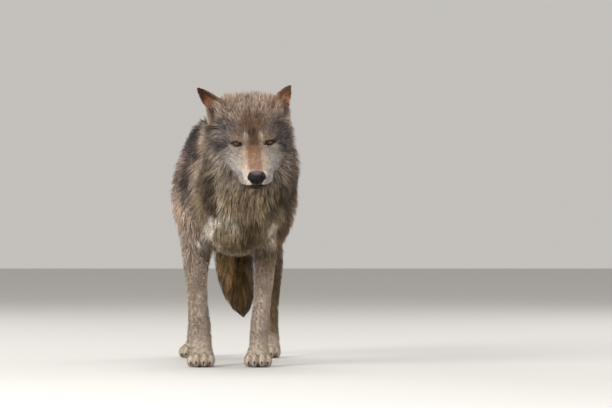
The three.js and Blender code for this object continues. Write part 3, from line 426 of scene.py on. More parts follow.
for side in (-1, 1):
    def placed(rows, shift, slim, side=side):
        return [[r[0], r[1] if side < 0 else -r[1] + shift, r[2], r[3] if side < 0 else r[3] * slim, r[4], r[5]] for r in rows]
    fore, hind = placed(FORELEG, FORE_SHIFT, FORE_SLIM), placed(HINDLEG, HIND_SHIFT, 1)
    if side > 0:
        hind = [[r[0], r[1] + HIND_BOW * math.exp(-(((r[0] - 275) / 85) ** 2))] + r[2:] for r in hind]
    body("foreleg" + ("_right" if side < 0 else "_left"), WORLD, loft("z", fore, 18, 40), 34,
         lambda q: leg_T(q[:, 2]), lambda q: leg_L(q[:, 2]), lambda q: np.stack([0 * q[:, 0], 0.1 + 0.5 * smooth(0, 40, q[:, 1]), -np.ones(len(q))], 1),
         leg_col(table(*[(r[0], r[1]) for r in fore]), side), lambda q: 0.06 + 0.2 * smooth(200, 380, q[:, 2]))
    body("hindleg" + ("_right" if side < 0 else "_left"), WORLD, loft("z", hind, 18, 40), 34,
         lambda q: hind_T(q[:, 2]), lambda q: hind_L(q[:, 2]), lambda q: np.stack([0 * q[:, 0], 0.12 + 0.5 * smooth(200, 260, q[:, 2]), -np.ones(len(q))], 1),
         hind_col, lambda q: 0.15 + 0.25 * smooth(150, 330, q[:, 2]))


def tail_col(q):
    back = smooth(628, 672, q[:, 1] + 10 * noise(q, 40, 8))
    root_ = smooth(470, 545, q[:, 2] + 12 * noise(q, 30, 10))
    front = smooth(668, 636, q[:, 1]) * (1 - smooth(430, 500, q[:, 2]))
    straw = smooth(-4, -36, q[:, 0] + 10 * noise(q, 26, 11)) * front
    dark = smooth(28, 6, np.abs(q[:, 0] - 9 + 8 * noise(q, 30, 7))) * front
    c = up_to(C_TAIL, C_SADDLE * 0.85, back)
    c = c + ((C_HAUNCH * 0.6 + C_SADDLE * 0.4) - c) * (0.85 * root_)[:, None]
    c = c * (1 + 0.65 * straw)[:, None] * (1 - dark[:, None] * np.array([0.3, 0.36, 0.55]))
    c = c * (1 + 0.35 * noise(q * np.array([1, 1, 0.2]), 7, 6))[:, None]
    c = c + (C_DARK * np.array([0.7, 0.6, 0.45]) - c) * (0.35 * dark)[:, None]
    return c + (C_DARK * 0.8 - c) * (0.6 * smooth(190, 135, q[:, 2] + 12 * noise(q, 25, 9)) * (1 - 0.6 * straw))[:, None]


body("tail", WORLD, loft("z", TAIL, 8, 14), 16, lambda q: table((122, 5), (140, 12), (165, 20), (210, 27), (290, 31), (380, 31), (460, 28), (530, 24), (585, 22), (615, 22))(q[:, 2]),
     62, lambda q: np.stack([0 * q[:, 0], 0.8 * smooth(540, 600, q[:, 2]) + 0.05, -np.ones(len(q))], 1), tail_col, lambda q: 0.35 + 0.4 * smooth(630, 680, q[:, 1]))

PAWS = {"forepaw_right": (FORE_PAW_RIGHT, 1), "forepaw_left": (FORE_PAW_LEFT, 1), "hindpaw_right": (HIND_PAW_RIGHT, 0.93), "hindpaw_left": (HIND_PAW_LEFT, 0.93)}
for name, (f, size) in PAWS.items():
    for c, r, k in PAW_MASSES:
        body(name, f, oval(np.array(c) * size, np.array(r) * size), k, 3.5, 11, (0, -0.7, -0.7), C_PAW, 0.05)
    for x, y, z, rx, ry, rz in TOES:
        body(name, f, oval(np.array([x, y, z]) * size, np.array([rx, ry, rz]) * size), 5, 2.6, 9, (0, -0.9, -0.45), C_PAW, 0.05)


# head
def muzzle_col(q):
    x, y, z = np.abs(q[:, 0]), q[:, 1], q[:, 2]
    top = smooth(-42, -30, z + 0.1 * y + 3 * noise(q, 14, 11)) * smooth(27, 14, x + 2 * noise(q, 9, 13))
    c = up_to(C_MUZZLE_SIDE, up_to(C_MUZZLE_TOP, tone(142, 106, 84), smooth(-60, -95, y)), top)
    lip = smooth(-46, -62, z + 3 * noise(q, 12, 12))
    return c + (C_WHITE - c) * (lip * (1 - top))[:, None]


HEAD_MASSES = [
    ["cranium", 0, [0, 80, 3], [76, 84, 62], 30, 12, 21, (0, 1, 0.1), C_CROWN, 0.3],
    ["forehead", 0, [0, 37, 4], [50, 55, 37], 22, 8, 16, (0, 0.95, 0.35), C_FOREHEAD, 0.25],
    ["crown", 1, [48, 102, 10], [38, 56, 60], 24, 16, 25, (0.15, 0.95, 0.25), C_CROWN, 0.3],
    ["crown_right", 0, [-70, 112, 20], [30, 46, 52], 20, 14, 26, (-0.1, 0.95, 0.25), C_CROWN, 0.3],
    ["flew", 1, [24, -92, -54], [21, 25, 21], 14, 2.2, 6, (0.1, 1, -0.1), C_WHITE, 0.0],
    ["lip", 1, [28, -60, -52], [21, 38, 25], 14, 2.8, 8, (0.15, 1, -0.1), C_WHITE, 0.0],
    ["cheek_pad", 1, [40, -20, -50], [23, 36, 30], 16, 5.5, 14, (0.25, 1, -0.15), C_WHITE, 0.14],
    ["nape", 0, [0, 118, -22], [90, 80, 80], 40, 26, 42, (0, 1, -0.15), C_MANTLE, 0.55],
    ["cheek", 1, [50, 40, -26], [34, 50, 42], 24, 11, 22, (0.3, 0.95, -0.3), C_CHEEK, 0.12],
    ["brow", 1, [32.5, 9, 10.5], [22, 20, 12], 14, 4.5, 10, (0.35, 0.75, 0.5), C_FOREHEAD, 0.15],
    ["cheekbone", 1, [40, 0, -26], [20, 26, 15], 14, 5.5, 13, (0.5, 0.85, -0.15), C_CHEEK, 0.2],
    ["ruff", 1, [72, 92, -36], [48, 54, 78], 36, 29, 42, (0.35, 0.6, -0.75), C_RUFF, 0.25],
    ["jowl", 1, [48, 62, -76], [40, 54, 40], 34, 25, 36, (0.12, 0.5, -0.9), C_JOWL, 0.15],
]
for name, pair, c, r, k, T, L, flow, col, pepper in HEAD_MASSES:
    for side in ((-1, 1) if pair else (1,)):
        head(name, oval([c[0] * side, c[1], c[2]], r), k, T, L, (flow[0] * side, flow[1], flow[2]), col, pepper)
head("muzzle", loft("y", MUZZLE, 11, 20, 2.6), 16, lambda q: table((-119, 2), (-80, 2.8), (-20, 4), (12, 5))(q[:, 1]),
     lambda q: table((-119, 4), (-90, 6), (-50, 8), (12, 12))(q[:, 1]), (0, 1, 0.06), muzzle_col, 0.03)
head("jaw", loft("y", JAW, 12, 20, 2.3), 8, lambda q: table((-106, 2.2), (-50, 4), (35, 10))(q[:, 1]),
     lambda q: table((-106, 5), (-50, 9), (35, 22))(q[:, 1]), (0, 1, -0.25), C_WHITE, 0.0)
for side in (-1, 1):
    base, e, n, w, length = ear_axes(side)

    def ear_col(q, side=side):
        x, y, h, length = ear_local(q, side)
        t = h / length
        inside = smooth(-1, 3, y - EAR["hollow"] * EAR["half"] * ((x / 32) ** 2 - 0.35))
        r = x / (EAR["half"] * np.maximum(1 - np.clip(t, 0, 1) ** 1.7, 0.01) ** 0.8 + 2)
        glow = inside * smooth(0.75, 0.25, t) * smooth(0.9, 0.2, np.abs(r + 0.25 * side))
        c = up_to(C_EAR_BACK, C_EAR_IN, inside)
        dark = (0.85 if side < 0 else 0.5) * smooth(0.3, 0.8, t + 0.3 * np.abs(r) - 0.6 * glow)
        c = c + (C_EAR_DARK - c) * dark[:, None]
        c = c + (tone(176, 124, 86) - c) * (0.7 * glow)[:, None]
        rim = smooth(0.8, 1.0, np.abs(r)) * (side * r < 0)
        c = c * (np.array([0.42, 0.33, 0.24]) if side < 0 else 1.0)
        c = c + ((tone(196, 122, 74) if side < 0 else tone(226, 156, 108)) - c) * ((0.45 if side < 0 else 0.95) * inside * smooth(0.68, 0.3, t) * smooth(-0.7, 0.1, -side * r))[:, None]
        edge = smooth(0.88, 1.0, np.abs(r)) * smooth(0.05, 0.3, t)
        c = c + (tone(150, 130, 114) - c) * (0.5 * edge)[:, None]
        return c + (C_CROWN - c) * (0.5 * rim)[:, None]

    head("ear", ear(side), 12, 2.8, 11, tuple(e * 0.9 + n * 0.1), ear_col, 0.2)
    head("earbase", oval([-84.2, 102, 22] if side < 0 else [74, 102, 22], [34, 34, 34]), 20, 11, 26, (0.3 * side, 0.8, 0.5), C_CROWN, 0.25)

HEAD_R, HEAD_AT = turned(HEAD)


def to_head(p):
    return (p - HEAD_AT) @ HEAD_R


def from_head(q):
    return np.asarray(q, float) @ HEAD_R.T + HEAD_AT


MARGIN = 62.0


def group(terms, p, mode, sigma):
    n = len(p)
    d = np.full(n, 1e3)
    acc = {} if mode == "d" else {"w": np.full(n, 1e-9)}
    if mode != "d":
        acc["T"] = np.zeros(n)
    if mode == "all":
        acc.update(L=np.zeros(n), flow=np.zeros((n, 3)), col=np.zeros((n, 3)), pepper=np.zeros(n))
    lo, hi = p.min(0), p.max(0)
    for t in terms:
        if np.any(t.lo - MARGIN > hi) or np.any(t.hi + MARGIN < lo):
            continue
        idx = np.nonzero(((p > t.lo - MARGIN) & (p < t.hi + MARGIN)).all(1))[0]
        if not len(idx):
            continue
        q = t.local(p[idx])
        v = t.fn(q)
        d[idx] = smin(d[idx], v, t.k)
        if mode == "d":
            continue
        w = np.exp(-np.clip(v, -140, 160) / sigma)
        acc["w"][idx] += w
        if mode == "T":
            acc["T"][idx] += w * (t.T(q) if callable(t.T) else t.T)
        else:
            T, L, flow, col, pepper = t.coat(q)
            acc["T"][idx] += w * T
            acc["L"][idx] += w * L
            acc["pepper"][idx] += w * pepper
            acc["flow"][idx] += w[:, None] * flow
            acc["col"][idx] += w[:, None] * col
    return d, acc


def evaluate_part(p, mode):
    """Distance to the tips of the coat, and what the coat is like there."""
    d, a = group(BODY, p, mode, 13.0)
    near = p[:, 1] < -100
    out = {}
    if mode != "d":
        for k in a:
            if k != "w":
                out[k] = a[k] / (a["w"] if a[k].ndim == 1 else a["w"][:, None])
    if near.any():
        i = np.nonzero(near)[0]
        dh, ah = group(HEADS, p[i], mode, 7.0)
        if mode != "d":
            w = 1 / (1 + np.exp(np.clip((dh - d[i]) / 8, -40, 40)))
            w = w * smooth(-100, -130, p[i, 1])
            for k in out:
                h = ah[k] / (ah["w"] if ah[k].ndim == 1 else ah["w"][:, None])
                ww = w if out[k].ndim == 1 else w[:, None]
                out[k][i] = out[k][i] * (1 - ww) + h * ww
            out["head"] = np.zeros(len(p))
            out["head"][i] = w
        j = p[i, 1] < -120
        d[i[j]] = smin(d[i[j]], dh[j], 34)
    elif mode != "d":
        out["head"] = np.zeros(len(p))
    out["d"] = d
    return out


POOL = ThreadPoolExecutor(4)


def evaluate(p, mode="d", chunk=24000):
    parts = list(POOL.map(lambda i: evaluate_part(p[i:i + chunk], mode), range(0, len(p), chunk)))
    if mode == "d":
        return np.concatenate([x["d"] for x in parts])
    return {k: np.concatenate([x[k] for x in parts]) for k in parts[0]}


# ------------------------------------------------------------------ details of the skin
def nose_field(q):
    d = oval([0, -120, -38], [24.5, 17, 13])[0](q)
    d = smin(d, oval([0, -117, -46.5], [17, 15, 11])[0](q), 8)
    d = smin(d, oval([0, -107, -32.5], [21, 15, 7.5])[0](q), 8)
    for s in (-1, 1):
        d = smax(d, -oval([s * 13.5, -138, -42], [5.2, 9, 4.6])[0](q), 3)
        d = smax(d, -oval([s * 20.5, -130, -45], [5, 8, 1.6])[0](q), 2)
    d = smax(d, -oval([0, -135, -54], [1.2, 6, 12])[0](q), 2)
    return d


def eye_axes(side):
    """Centre of the eyeball, the middle of the eye's opening, and the opening's long and short axes, in the head's frame."""
    c = np.array([EYE[0] * side, EYE[1], EYE[2]], float)
    out, up = math.radians(15), math.radians(19)
    a = np.array([math.sin(out) * side, -math.cos(out) * math.cos(up), math.sin(up)])
    a /= np.linalg.norm(a)
    u = np.cross(a, [0, 0, 1.0]) * side
    u /= np.linalg.norm(u)
    if u[0] * side < 0:
        u = -u
    v = np.cross(u, a)
    if v[2] < 0:
        v = -v
    slant = math.radians(-1 if side < 0 else 2)
    return c, a, u * math.cos(slant) + v * math.sin(slant), v * math.cos(slant) - u * math.sin(slant)


def mouth_line(y):
    """Height of the slit of the mouth along the muzzle, in the head's frame."""
    return np.interp(y, [-130, -118, -100, -72, -40, -15], [-59, -62, -70, -78, -79, -74])


LID = 1.7
OPEN_W, OPEN_UP, OPEN_DOWN = 13.0, 3.6, 4.7


def opening(q, side):
    """Signed reach outside the almond between the lids, and how far in front of the eyeball's middle."""
    c, a, u, v = eye_axes(side)
    r = q - c
    x, y, f = r @ u, r @ v, r @ a
    shape = np.maximum(1 - (x / OPEN_W) ** 2, 0) ** 0.8
    h = np.where(y > 0, OPEN_UP, OPEN_DOWN) * shape
    inner = np.maximum(-x - OPEN_W + 3, 0)
    return np.maximum(np.abs(y + 0.0 * inner) - h, np.abs(x) - OPEN_W) * 0.85, f


def skin_part(p):
    e = evaluate_part(p, "T")
    s = e["d"] + e["T"]
    # dock of the tail
    s = smin(s, oval([-10, 566, 600], [20, 46, 28])[0](p), 12)
    near = np.nonzero((p[:, 1] < -220) & (p[:, 2] > 420))[0]
    if len(near):
        q = to_head(p[near])
        h = s[near]
        for side in (-1, 1):
            c, a, u, v = eye_axes(side)
            r = q - c
            # the socket dips round the eye, and the lids wrap the ball
            h = smax(h, -oval([(EYE[0] + 1) * side, EYE[1] - 15, EYE[2] + 1], [15, 9, 8])[0](q), 6)
            ball = np.linalg.norm(r, axis=1)
            h = smin(h, ball - (EYE_R + LID), 3.5)
            gap, front = opening(q, side)
            h = np.where(front > 0, smax(h, -np.maximum(gap, EYE_R - 2.2 - ball), 0.8), h)
        # lips: a groove between the muzzle and the jaw
        x, y, z = np.abs(q[:, 0]), q[:, 1], q[:, 2]
        groove = np.abs(z - mouth_line(y)) - 1.4
        reach = np.maximum(groove, np.maximum(y + 18, -h - 3.4))
        h = smax(h, -reach, 1.2)
        h = smin(h, nose_field(q) + 0.2, 1.2)
        s[near] = h
    # soles end flat just above the floor
    return np.maximum(s, 0.4 - p[:, 2])


def skin(p, chunk=24000):
    return np.concatenate(list(POOL.map(lambda i: skin_part(p[i:i + chunk]), range(0, len(p), chunk))))


def nets(pitch, lo, hi):
    """Surface-net mesh of the skin on a regular grid that is worked out only near the surface."""
    B = 4
    n = (np.ceil((hi - lo) / (pitch * B)).astype(int)) * B + 1
    cn = (n - 1) // B
    I, J, K = np.meshgrid(*[np.arange(c) for c in cn], indexing="ij")
    cells = np.stack([I, J, K], -1).reshape(-1, 3)
    mid = lo + (cells * B + B / 2) * pitch
    far = skin(mid, 40000)
    live = np.abs(far) < pitch * B * 1.15 + 2.5
    G = np.repeat(np.repeat(np.repeat(far.reshape(cn).astype(np.float32), B, 0), B, 1), B, 2)
    G = np.pad(G, ((0, 1), (0, 1), (0, 1)), constant_values=1e3)
    off = np.stack(np.meshgrid(*[np.arange(B)] * 3, indexing="ij"), -1).reshape(-1, 3)
    ids = (cells[live][:, None] * B + off).reshape(-1, 3)
    G[ids[:, 0], ids[:, 1], ids[:, 2]] = skin(lo + ids * pitch, 32768)
    G[0], G[:, 0], G[:, :, 0] = 1e3, 1e3, 1e3
    G[-1], G[:, -1], G[:, :, -1] = 1e3, 1e3, 1e3
    corner = [(k & 1, (k >> 1) & 1, k >> 2) for k in range(8)]
    faces_of = [(0, 1, 3, 2), (0, 1, 5, 4), (0, 2, 6, 4), (1, 3, 7, 5), (2, 3, 7, 6), (4, 5, 7, 6)]
    for _ in range(14):
        inside = G < 0
        count = sum(inside[a:a + n[0] - 1, b:b + n[1] - 1, c:c + n[2] - 1].astype(np.uint8) for a, b, c in corner)
        act = np.argwhere((count > 0) & (count < 8))
        ins = np.stack([inside[act[:, 0] + a, act[:, 1] + b, act[:, 2] + c] for a, b, c in corner], 1)
        val = np.stack([G[act[:, 0] + a, act[:, 1] + b, act[:, 2] + c] for a, b, c in corner], 1)
        bad, pick = [], []
        for f in faces_of:
            m = (ins[:, f[0]] != ins[:, f[1]]) & (ins[:, f[0]] == ins[:, f[2]]) & (ins[:, f[1]] == ins[:, f[3]])
            r = np.nonzero(m)[0]
            bad.append(r)
            pick.append(np.array(f)[np.abs(val[r][:, f]).argmin(1)])
        tot = ins.sum(1)
        for a, b in ((0, 7), (1, 6), (2, 5), (3, 4)):
            m = (ins[:, a] == ins[:, b]) & (tot == np.where(ins[:, a], 2, 6))
            r = np.nonzero(m)[0]
            bad.append(r)
            pick.append(np.array([a, b])[np.abs(val[r][:, [a, b]]).argmin(1)])
        bad, pick = np.concatenate(bad), np.concatenate(pick)
        if not len(bad):
            break
        cc = np.array(corner)[pick] + act[bad]
        cc = np.unique(cc, axis=0)
        g = G[cc[:, 0], cc[:, 1], cc[:, 2]]
        G[cc[:, 0], cc[:, 1], cc[:, 2]] = np.where(g < 0, 0.02, -0.02)
    inside = G < 0
    count = sum(inside[a:a + n[0] - 1, b:b + n[1] - 1, c:c + n[2] - 1].astype(np.uint8) for a, b, c in corner)
    act = np.argwhere((count > 0) & (count < 8))
    number = np.full(tuple(n - 1), -1, np.int32)
    number[act[:, 0], act[:, 1], act[:, 2]] = np.arange(len(act))
    total, hits = np.zeros((len(act), 3)), np.zeros(len(act))
    val = np.stack([G[act[:, 0] + a, act[:, 1] + b, act[:, 2] + c] for a, b, c in corner], 1).astype(float)
    for k in range(8):
        for bit in (1, 2, 4):
            l = k | bit
            if l == k:
                continue
            va, vb = val[:, k], val[:, l]
            m = (va < 0) != (vb < 0)
            t = np.where(m, va / np.where(va == vb, 1, va - vb), 0)
            pa, pb = np.array(corner[k], float), np.array(corner[l], float)
            total += np.where(m[:, None], pa + t[:, None] * (pb - pa), 0)
            hits += m
    pos = lo + (act + total / hits[:, None]) * pitch
    quads = []
    for axis in range(3):
        o1, o2 = [(1, 2), (2, 0), (0, 1)][axis]
        sl0, sl1 = [slice(None)] * 3, [slice(None)] * 3
        sl0[axis], sl1[axis] = slice(0, -1), slice(1, None)
        a, b = inside[tuple(sl0)], inside[tuple(sl1)]
        e = np.argwhere(a != b)
        e = e[(e[:, o1] > 0) & (e[:, o2] > 0)]
        e = e[(e < (n - 1)).all(1)]
        s = a[e[:, 0], e[:, 1], e[:, 2]]
        d1, d2 = np.zeros(3, int), np.zeros(3, int)
        d1[o1], d2[o2] = 1, 1
        get = lambda c: number[c[:, 0], c[:, 1], c[:, 2]]
        q = np.stack([get(e - d1 - d2), get(e - d2), get(e), get(e - d1)], 1)
        q[~s] = q[~s][:, ::-1]
        quads.append(q)
    quads = np.concatenate(quads)
    d02 = ((pos[quads[:, 0]] - pos[quads[:, 2]]) ** 2).sum(1)
    d13 = ((pos[quads[:, 1]] - pos[quads[:, 3]]) ** 2).sum(1)
    t1 = np.where((d02 <= d13)[:, None], quads[:, [0, 1, 2]], quads[:, [0, 1, 3]])
    t2 = np.where((d02 <= d13)[:, None], quads[:, [0, 2, 3]], quads[:, [1, 2, 3]])
    return pos, np.concatenate([t1, t2])


def gradient(f, p, e=0.6):
    step = np.eye(3) * e
    stack = np.concatenate([p + step[0], p - step[0], p + step[1], p - step[1], p + step[2], p - step[2]])
    v = f(stack).reshape(3, 2, -1)
    return ((v[:, 0] - v[:, 1]) / (2 * e)).T


def make_mesh(name, pos, faces, smooth_shaded=True):
    """Mesh from vertex positions in the animal's frame (mm) and an array of triangles."""
    m = bpy.data.meshes.new(name)
    m.vertices.add(len(pos))
    m.vertices.foreach_set("co", ((pos - ORIGIN) * 0.001).astype(np.float32).ravel())
    k = faces.shape[1]
    m.loops.add(faces.size)
    m.loops.foreach_set("vertex_index", faces.astype(np.int32).ravel())
    m.polygons.add(len(faces))
    m.polygons.foreach_set("loop_start", np.arange(0, faces.size, k, dtype=np.int32))
    m.update(calc_edges=True)
    if smooth_shaded:
        m.polygons.foreach_set("use_smooth", np.ones(len(faces), bool))
    o = bpy.data.objects.new(name, m)
    bpy.context.scene.collection.objects.link(o)
    return o


def paint(o, col, name="coat_colour"):
    a = o.data.attributes.new(name, "FLOAT_COLOR", "POINT")
    rgba = np.ones((len(col), 4), np.float32)
    rgba[:, :3] = col
    a.data.foreach_set("color", rgba.ravel())


def put(o, name, values):
    a = o.data.attributes.new(name, "FLOAT", "POINT")
    a.data.foreach_set("value", values.astype(np.float32))


# ------------------------------------------------------------------ markings, with painted shade and painted highlights
def markings_and_painted_light(p, e):
    """Colour (linear), pepper and wetness at points of the animal: the base of each mass, then the marks over it, among
    them painted shade and painted highlights.
    """
    col, pepper = e["col"].copy(), e["pepper"].copy()
    wet = np.zeros(len(p))

    def lay(c, m, amount=1.0):
        nonlocal col
        m = np.clip(m * amount, 0, 1)[:, None]
        col = col * (1 - m) + c * m

    def spot(q, c, r, soft=0.35):
        k = np.sqrt((((q - np.array(c, float)) / np.array(r, float)) ** 2).sum(1))
        return 1 - smooth(1 - soft, 1 + soft, k)

    n1, n2 = noise(p, 26, 1), noise(p, 9, 2)
    hw = e["head"]
    far = 10000 / (p[:, 1] + 10000)
    su, sv = (p[:, 0] - 207) * far + 3.5 * n2 + 3 * n1, (p[:, 2] - 454) * far + 3 * n2
    hair = smooth(-0.9, 0.35, noise(p * np.array([1, 0.3, 0.3]), 5, 41))

    def stroke(line, width, c, amount, behind, mask=1.0):
        """A band of colour along a line seen from the front (mm to the right of and above the eye level mark), no further back than a depth."""
        near = np.full(len(p), 1e3)
        line = np.array(line, float)
        for a, b in zip(line[:-1], line[1:]):
            d = b - a
            t = np.clip(((su - a[0]) * d[0] + (sv - a[1]) * d[1]) / (d @ d), 0, 1)
            near = np.minimum(near, np.hypot(su - a[0] - t * d[0], sv - a[1] - t * d[1]))
        m = smooth(width * 0.75, width * 0.3, near) * smooth(behind + 50, behind, p[:, 1]) * (0.45 + 0.55 * hair) * mask
        lay(c, m, amount)

    # breast: painted shade low on the breast beside the left foreleg and a darker streak up the middle, pale patches
    # inside the armpits, dark lines beside them
    front = smooth(-60, -150, p[:, 1]) * (1 - hw)
    wob = p + 8 * n1[:, None]
    lay(C_CHEST * 0.5, front * spot(wob, [58, -220, 350], [30, 140, 50]), 0.7)
    lay(C_CHEST * 0.55, front * spot(wob, [34, -220, 420], [12, 140, 70]), 0.4)
    # dark cape over the shoulders, streaked
    streak = smooth(-0.5, 0.5, noise(p * np.array([1, 1, 0.22]), 9, 31))
    cape = smooth(108, 132, np.abs(p[:, 0] - 12) + 7 * n1) * smooth(450, 520, p[:, 2]) * smooth(-215, -140, p[:, 1]) * smooth(260, 140, p[:, 1])
    lay(C_DARK * 1.5, cape * (1 - hw) * (0.35 + 0.65 * streak), 0.75)
    # dark line between the ruff and the shoulder
    band = np.exp(-((p[:, 1] + 62 + 20 * n1 - 0.35 * (p[:, 2] - 520)) / 24) ** 2) * smooth(450, 540, p[:, 2])
    lay(C_DARK * 1.2, band * (1 - hw), 0.6)
    stroke([[-312, 216], [-322, 174], [-330, 151], [-336, 123], [-340, 90], [-336, 36], [-328, 6]], 25, tone(74, 65, 65), 0.85, 180)
    stroke([[-340, 143], [-350, 95], [-356, 48], [-364, 11]], 13, tone(168, 143, 132), 0.65, 120)
    stroke([[-357, 90], [-364, 39]], 11, tone(90, 69, 67), 0.6, 120)
    stroke([[-288, 260], [-291, 193], [-283, 165], [-291, 123], [-300, 106], [-308, 76], [-322, 31], [-325, 3]], 20, tone(174, 154, 136), 0.8, -40)
    stroke([[-266, 263], [-263, 230], [-270, 207], [-270, 179], [-277, 151], [-274, 118], [-283, 95], [-297, 56]], 15, tone(87, 72, 60), 0.85, -60)
    stroke([[-274, 67], [-288, 36], [-280, 14], [-269, -8], [-252, -42]], 17, tone(85, 69, 56), 0.85, -60)
    stroke([[-241, 6], [-235, -22], [-232, -56]], 20, tone(179, 166, 148), 0.8, -100)
    stroke([[-255, -48], [-274, -78], [-291, -109]], 31, tone(226, 217, 204), 0.95, -20)
    stroke([[-235, -62], [-230, -101]], 22, tone(155, 141, 119), 0.7, -100)
    stroke([[-98, -56], [-94, -115]], 23, tone(206, 190, 174), 0.85, -20)
    stroke([[-81, 3], [-95, -28], [-106, -56]], 18, tone(65, 56, 45), 0.85, -60)
    stroke([[-151, -62], [-157, -101], [-168, -118]], 34, tone(76, 63, 38), 0.75, -100)
    stroke([[-185, 3], [-176, -50]], 17, tone(146, 125, 103), 0.5, -100)
    # painted shade along the underside of the breast
    stroke([[-224, -129], [-185, -146], [-134, -146], [-101, -129]], 28, tone(74, 60, 38), 0.7, -60)
    stroke([[-50, 12], [-52, -32]], 24, tone(82, 65, 49), 0.6, 60)
    stroke([[-36, 188], [-27, 151], [-22, 123], [-20, 106]], 14, tone(188, 164, 141), 0.8, -60)
    stroke([[-18, 129], [-13, 90], [-17, 45]], 11, tone(85, 72, 63), 0.7, -60)
    stroke([[-28, 73], [-34, 17], [-42, -6]], 17, tone(90, 78, 72), 0.7, -60)
    stroke([[-78, 39], [-90, 6]], 17, tone(83, 69, 52), 0.7, -60)
    stroke([[-28, -3], [-39, -45], [-50, -90]], 11, tone(177, 152, 130), 0.7, 60)
    stroke([[-34, 151], [-34, 45]], 20, tone(84, 73, 61), 0.65, -60)
    stroke([[-240, 67], [-238, 45]], 40, tone(152, 141, 129), 0.5, -150)
    stroke([[-64, -101], [-67, -162]], 14, tone(148, 119, 87), 0.6, 200)
    stroke([[-302, 207], [-308, 174], [-311, 134]], 22, tone(50, 43, 43), 0.9, 180)
    stroke([[-334, 42], [-332, 8]], 24, tone(80, 68, 64), 0.65, 180)
    stroke([[-270, 214], [-269, 182]], 18, tone(72, 61, 56), 0.7, -60)
    stroke([[-268, 130], [-266, 104]], 16, tone(90, 77, 66), 0.6, -60)
    stroke([[-268, 70], [-270, 32], [-268, 2], [-256, -22]], 26, tone(58, 47, 38), 0.85, -60)
    stroke([[-240, 68], [-216, 58], [-196, 54]], 38, tone(158, 146, 131), 0.6, -100)
    stroke([[-228, -38], [-212, -60], [-200, -76]], 32, tone(176, 166, 148), 0.65, -100)
    stroke([[-62, 54], [-60, 30], [-66, 4]], 26, tone(54, 44, 35), 0.85, -40)
    stroke([[-46, 74], [-42, 42], [-46, 22]], 18, tone(72, 61, 51), 0.65, -20)
    stroke([[-72, 102], [-61, 80], [-54, 62]], 24, tone(156, 138, 120), 0.55, -100)
    stroke([[-150, 22], [-150, -8], [-142, -38]], 28, tone(106, 90, 66), 0.45, -100)
    # more painted shade along the underside of the breast
    stroke([[-264, -130], [-230, -136], [-180, -132]], 18, tone(82, 68, 52), 0.55, -60)
    # armpits: painted shade in the creases between the forelegs and the body
    for x in (-66, 58):
        lay(C_DARK * 1.6, spot(p, [x, -10, 320], [24, 60, 40]), 0.45)
    stroke([[-76, 134], [-56, 129], [-45, 109]], 17, tone(206, 194, 166), 0.7, -150, hw)
    stroke([[-74, 92], [-50, 60]], 24, tone(188, 170, 150), 0.8, -150, hw)
    stroke([[-252, 132], [-246, 112]], 24, tone(217, 204, 184), 0.95, -150, hw)
    stroke([[-231, 134], [-232, 106]], 11, tone(112, 103, 90), 0.7, -150, hw)
    stroke([[-224, 216], [-244, 196], [-249, 162]], 42, tone(110, 100, 97), 0.7, -150, hw)
    stroke([[-230, 171], [-244, 154], [-263, 137]], 17, tone(72, 63, 60), 0.85, -150, hw)
    stroke([[-70, 230], [-59, 196], [-50, 162]], 36, tone(96, 85, 83), 0.8, -150, hw)
    stroke([[-76, 190], [-64, 165], [-50, 146]], 14, tone(58, 49, 47), 0.85, -150, hw)
    stroke([[-224, 232], [-185, 224], [-146, 230], [-101, 230], [-73, 224]], 14, tone(116, 101, 92), 0.45, -150, hw)
    stroke([[-212, 184], [-198, 189], [-184, 184]], 11, tone(168, 140, 112), 0.6, -150, hw)
    stroke([[-117, 186], [-103, 194], [-90, 190]], 11, tone(156, 128, 106), 0.55, -150, hw)
    stroke([[-216, 160], [-196, 148]], 17, tone(176, 164, 149), 0.8, -150, hw)
    stroke([[-204, 123], [-196, 95], [-179, 73]], 25, tone(186, 178, 168), 0.85, -150, hw)
    stroke([[-84, 132], [-92, 101], [-104, 73]], 22, tone(190, 182, 173), 0.8, -150, hw)
    stroke([[-251, 262], [-224, 258], [-199, 249]], 40, tone(150, 132, 118), 0.6, -150, hw)
    stroke([[-115, 256], [-66, 252]], 34, tone(148, 130, 117), 0.6, -150, hw)
    stroke([[-251, 224], [-217, 218], [-188, 212]], 30, tone(98, 88, 86), 0.65, -150, hw)
    stroke([[-115, 212], [-87, 216], [-59, 212]], 26, tone(94, 83, 81), 0.7, -150, hw)
    stroke([[-160, 224], [-157, 206], [-154, 186]], 26, tone(84, 66, 54), 0.5, -150, hw)
    stroke([[-263, 168], [-250, 158], [-236, 166]], 24, tone(80, 71, 70), 0.6, -150, hw)
    stroke([[-60, 200], [-49, 170], [-42, 150]], 22, tone(76, 66, 64), 0.6, -150, hw)
    stroke([[-172, 154], [-168, 130], [-167, 104]], 12, tone(212, 180, 152), 0.55, -150, hw)
    stroke([[-119, 150], [-117, 112]], 9, tone(206, 176, 156), 0.5, -150, hw)
    stroke([[-252, 174], [-240, 160]], 22, tone(66, 58, 57), 0.65, -150, hw)
    stroke([[-114, 238], [-102, 218], [-108, 204]], 20, tone(152, 139, 130), 0.6, -150, hw)
    stroke([[-268, 272], [-258, 256], [-258, 236]], 14, tone(62, 47, 39), 0.75, -270, hw)
    stroke([[-58, 288], [-54, 254]], 12, tone(72, 54, 45), 0.65, -270, hw)
    stroke([[-45, 285], [-43, 262]], 8, tone(172, 152, 136), 0.7, -270, hw)
    stroke([[-84, 303], [-70, 289]], 13, tone(196, 142, 106), 0.6, -295, hw)
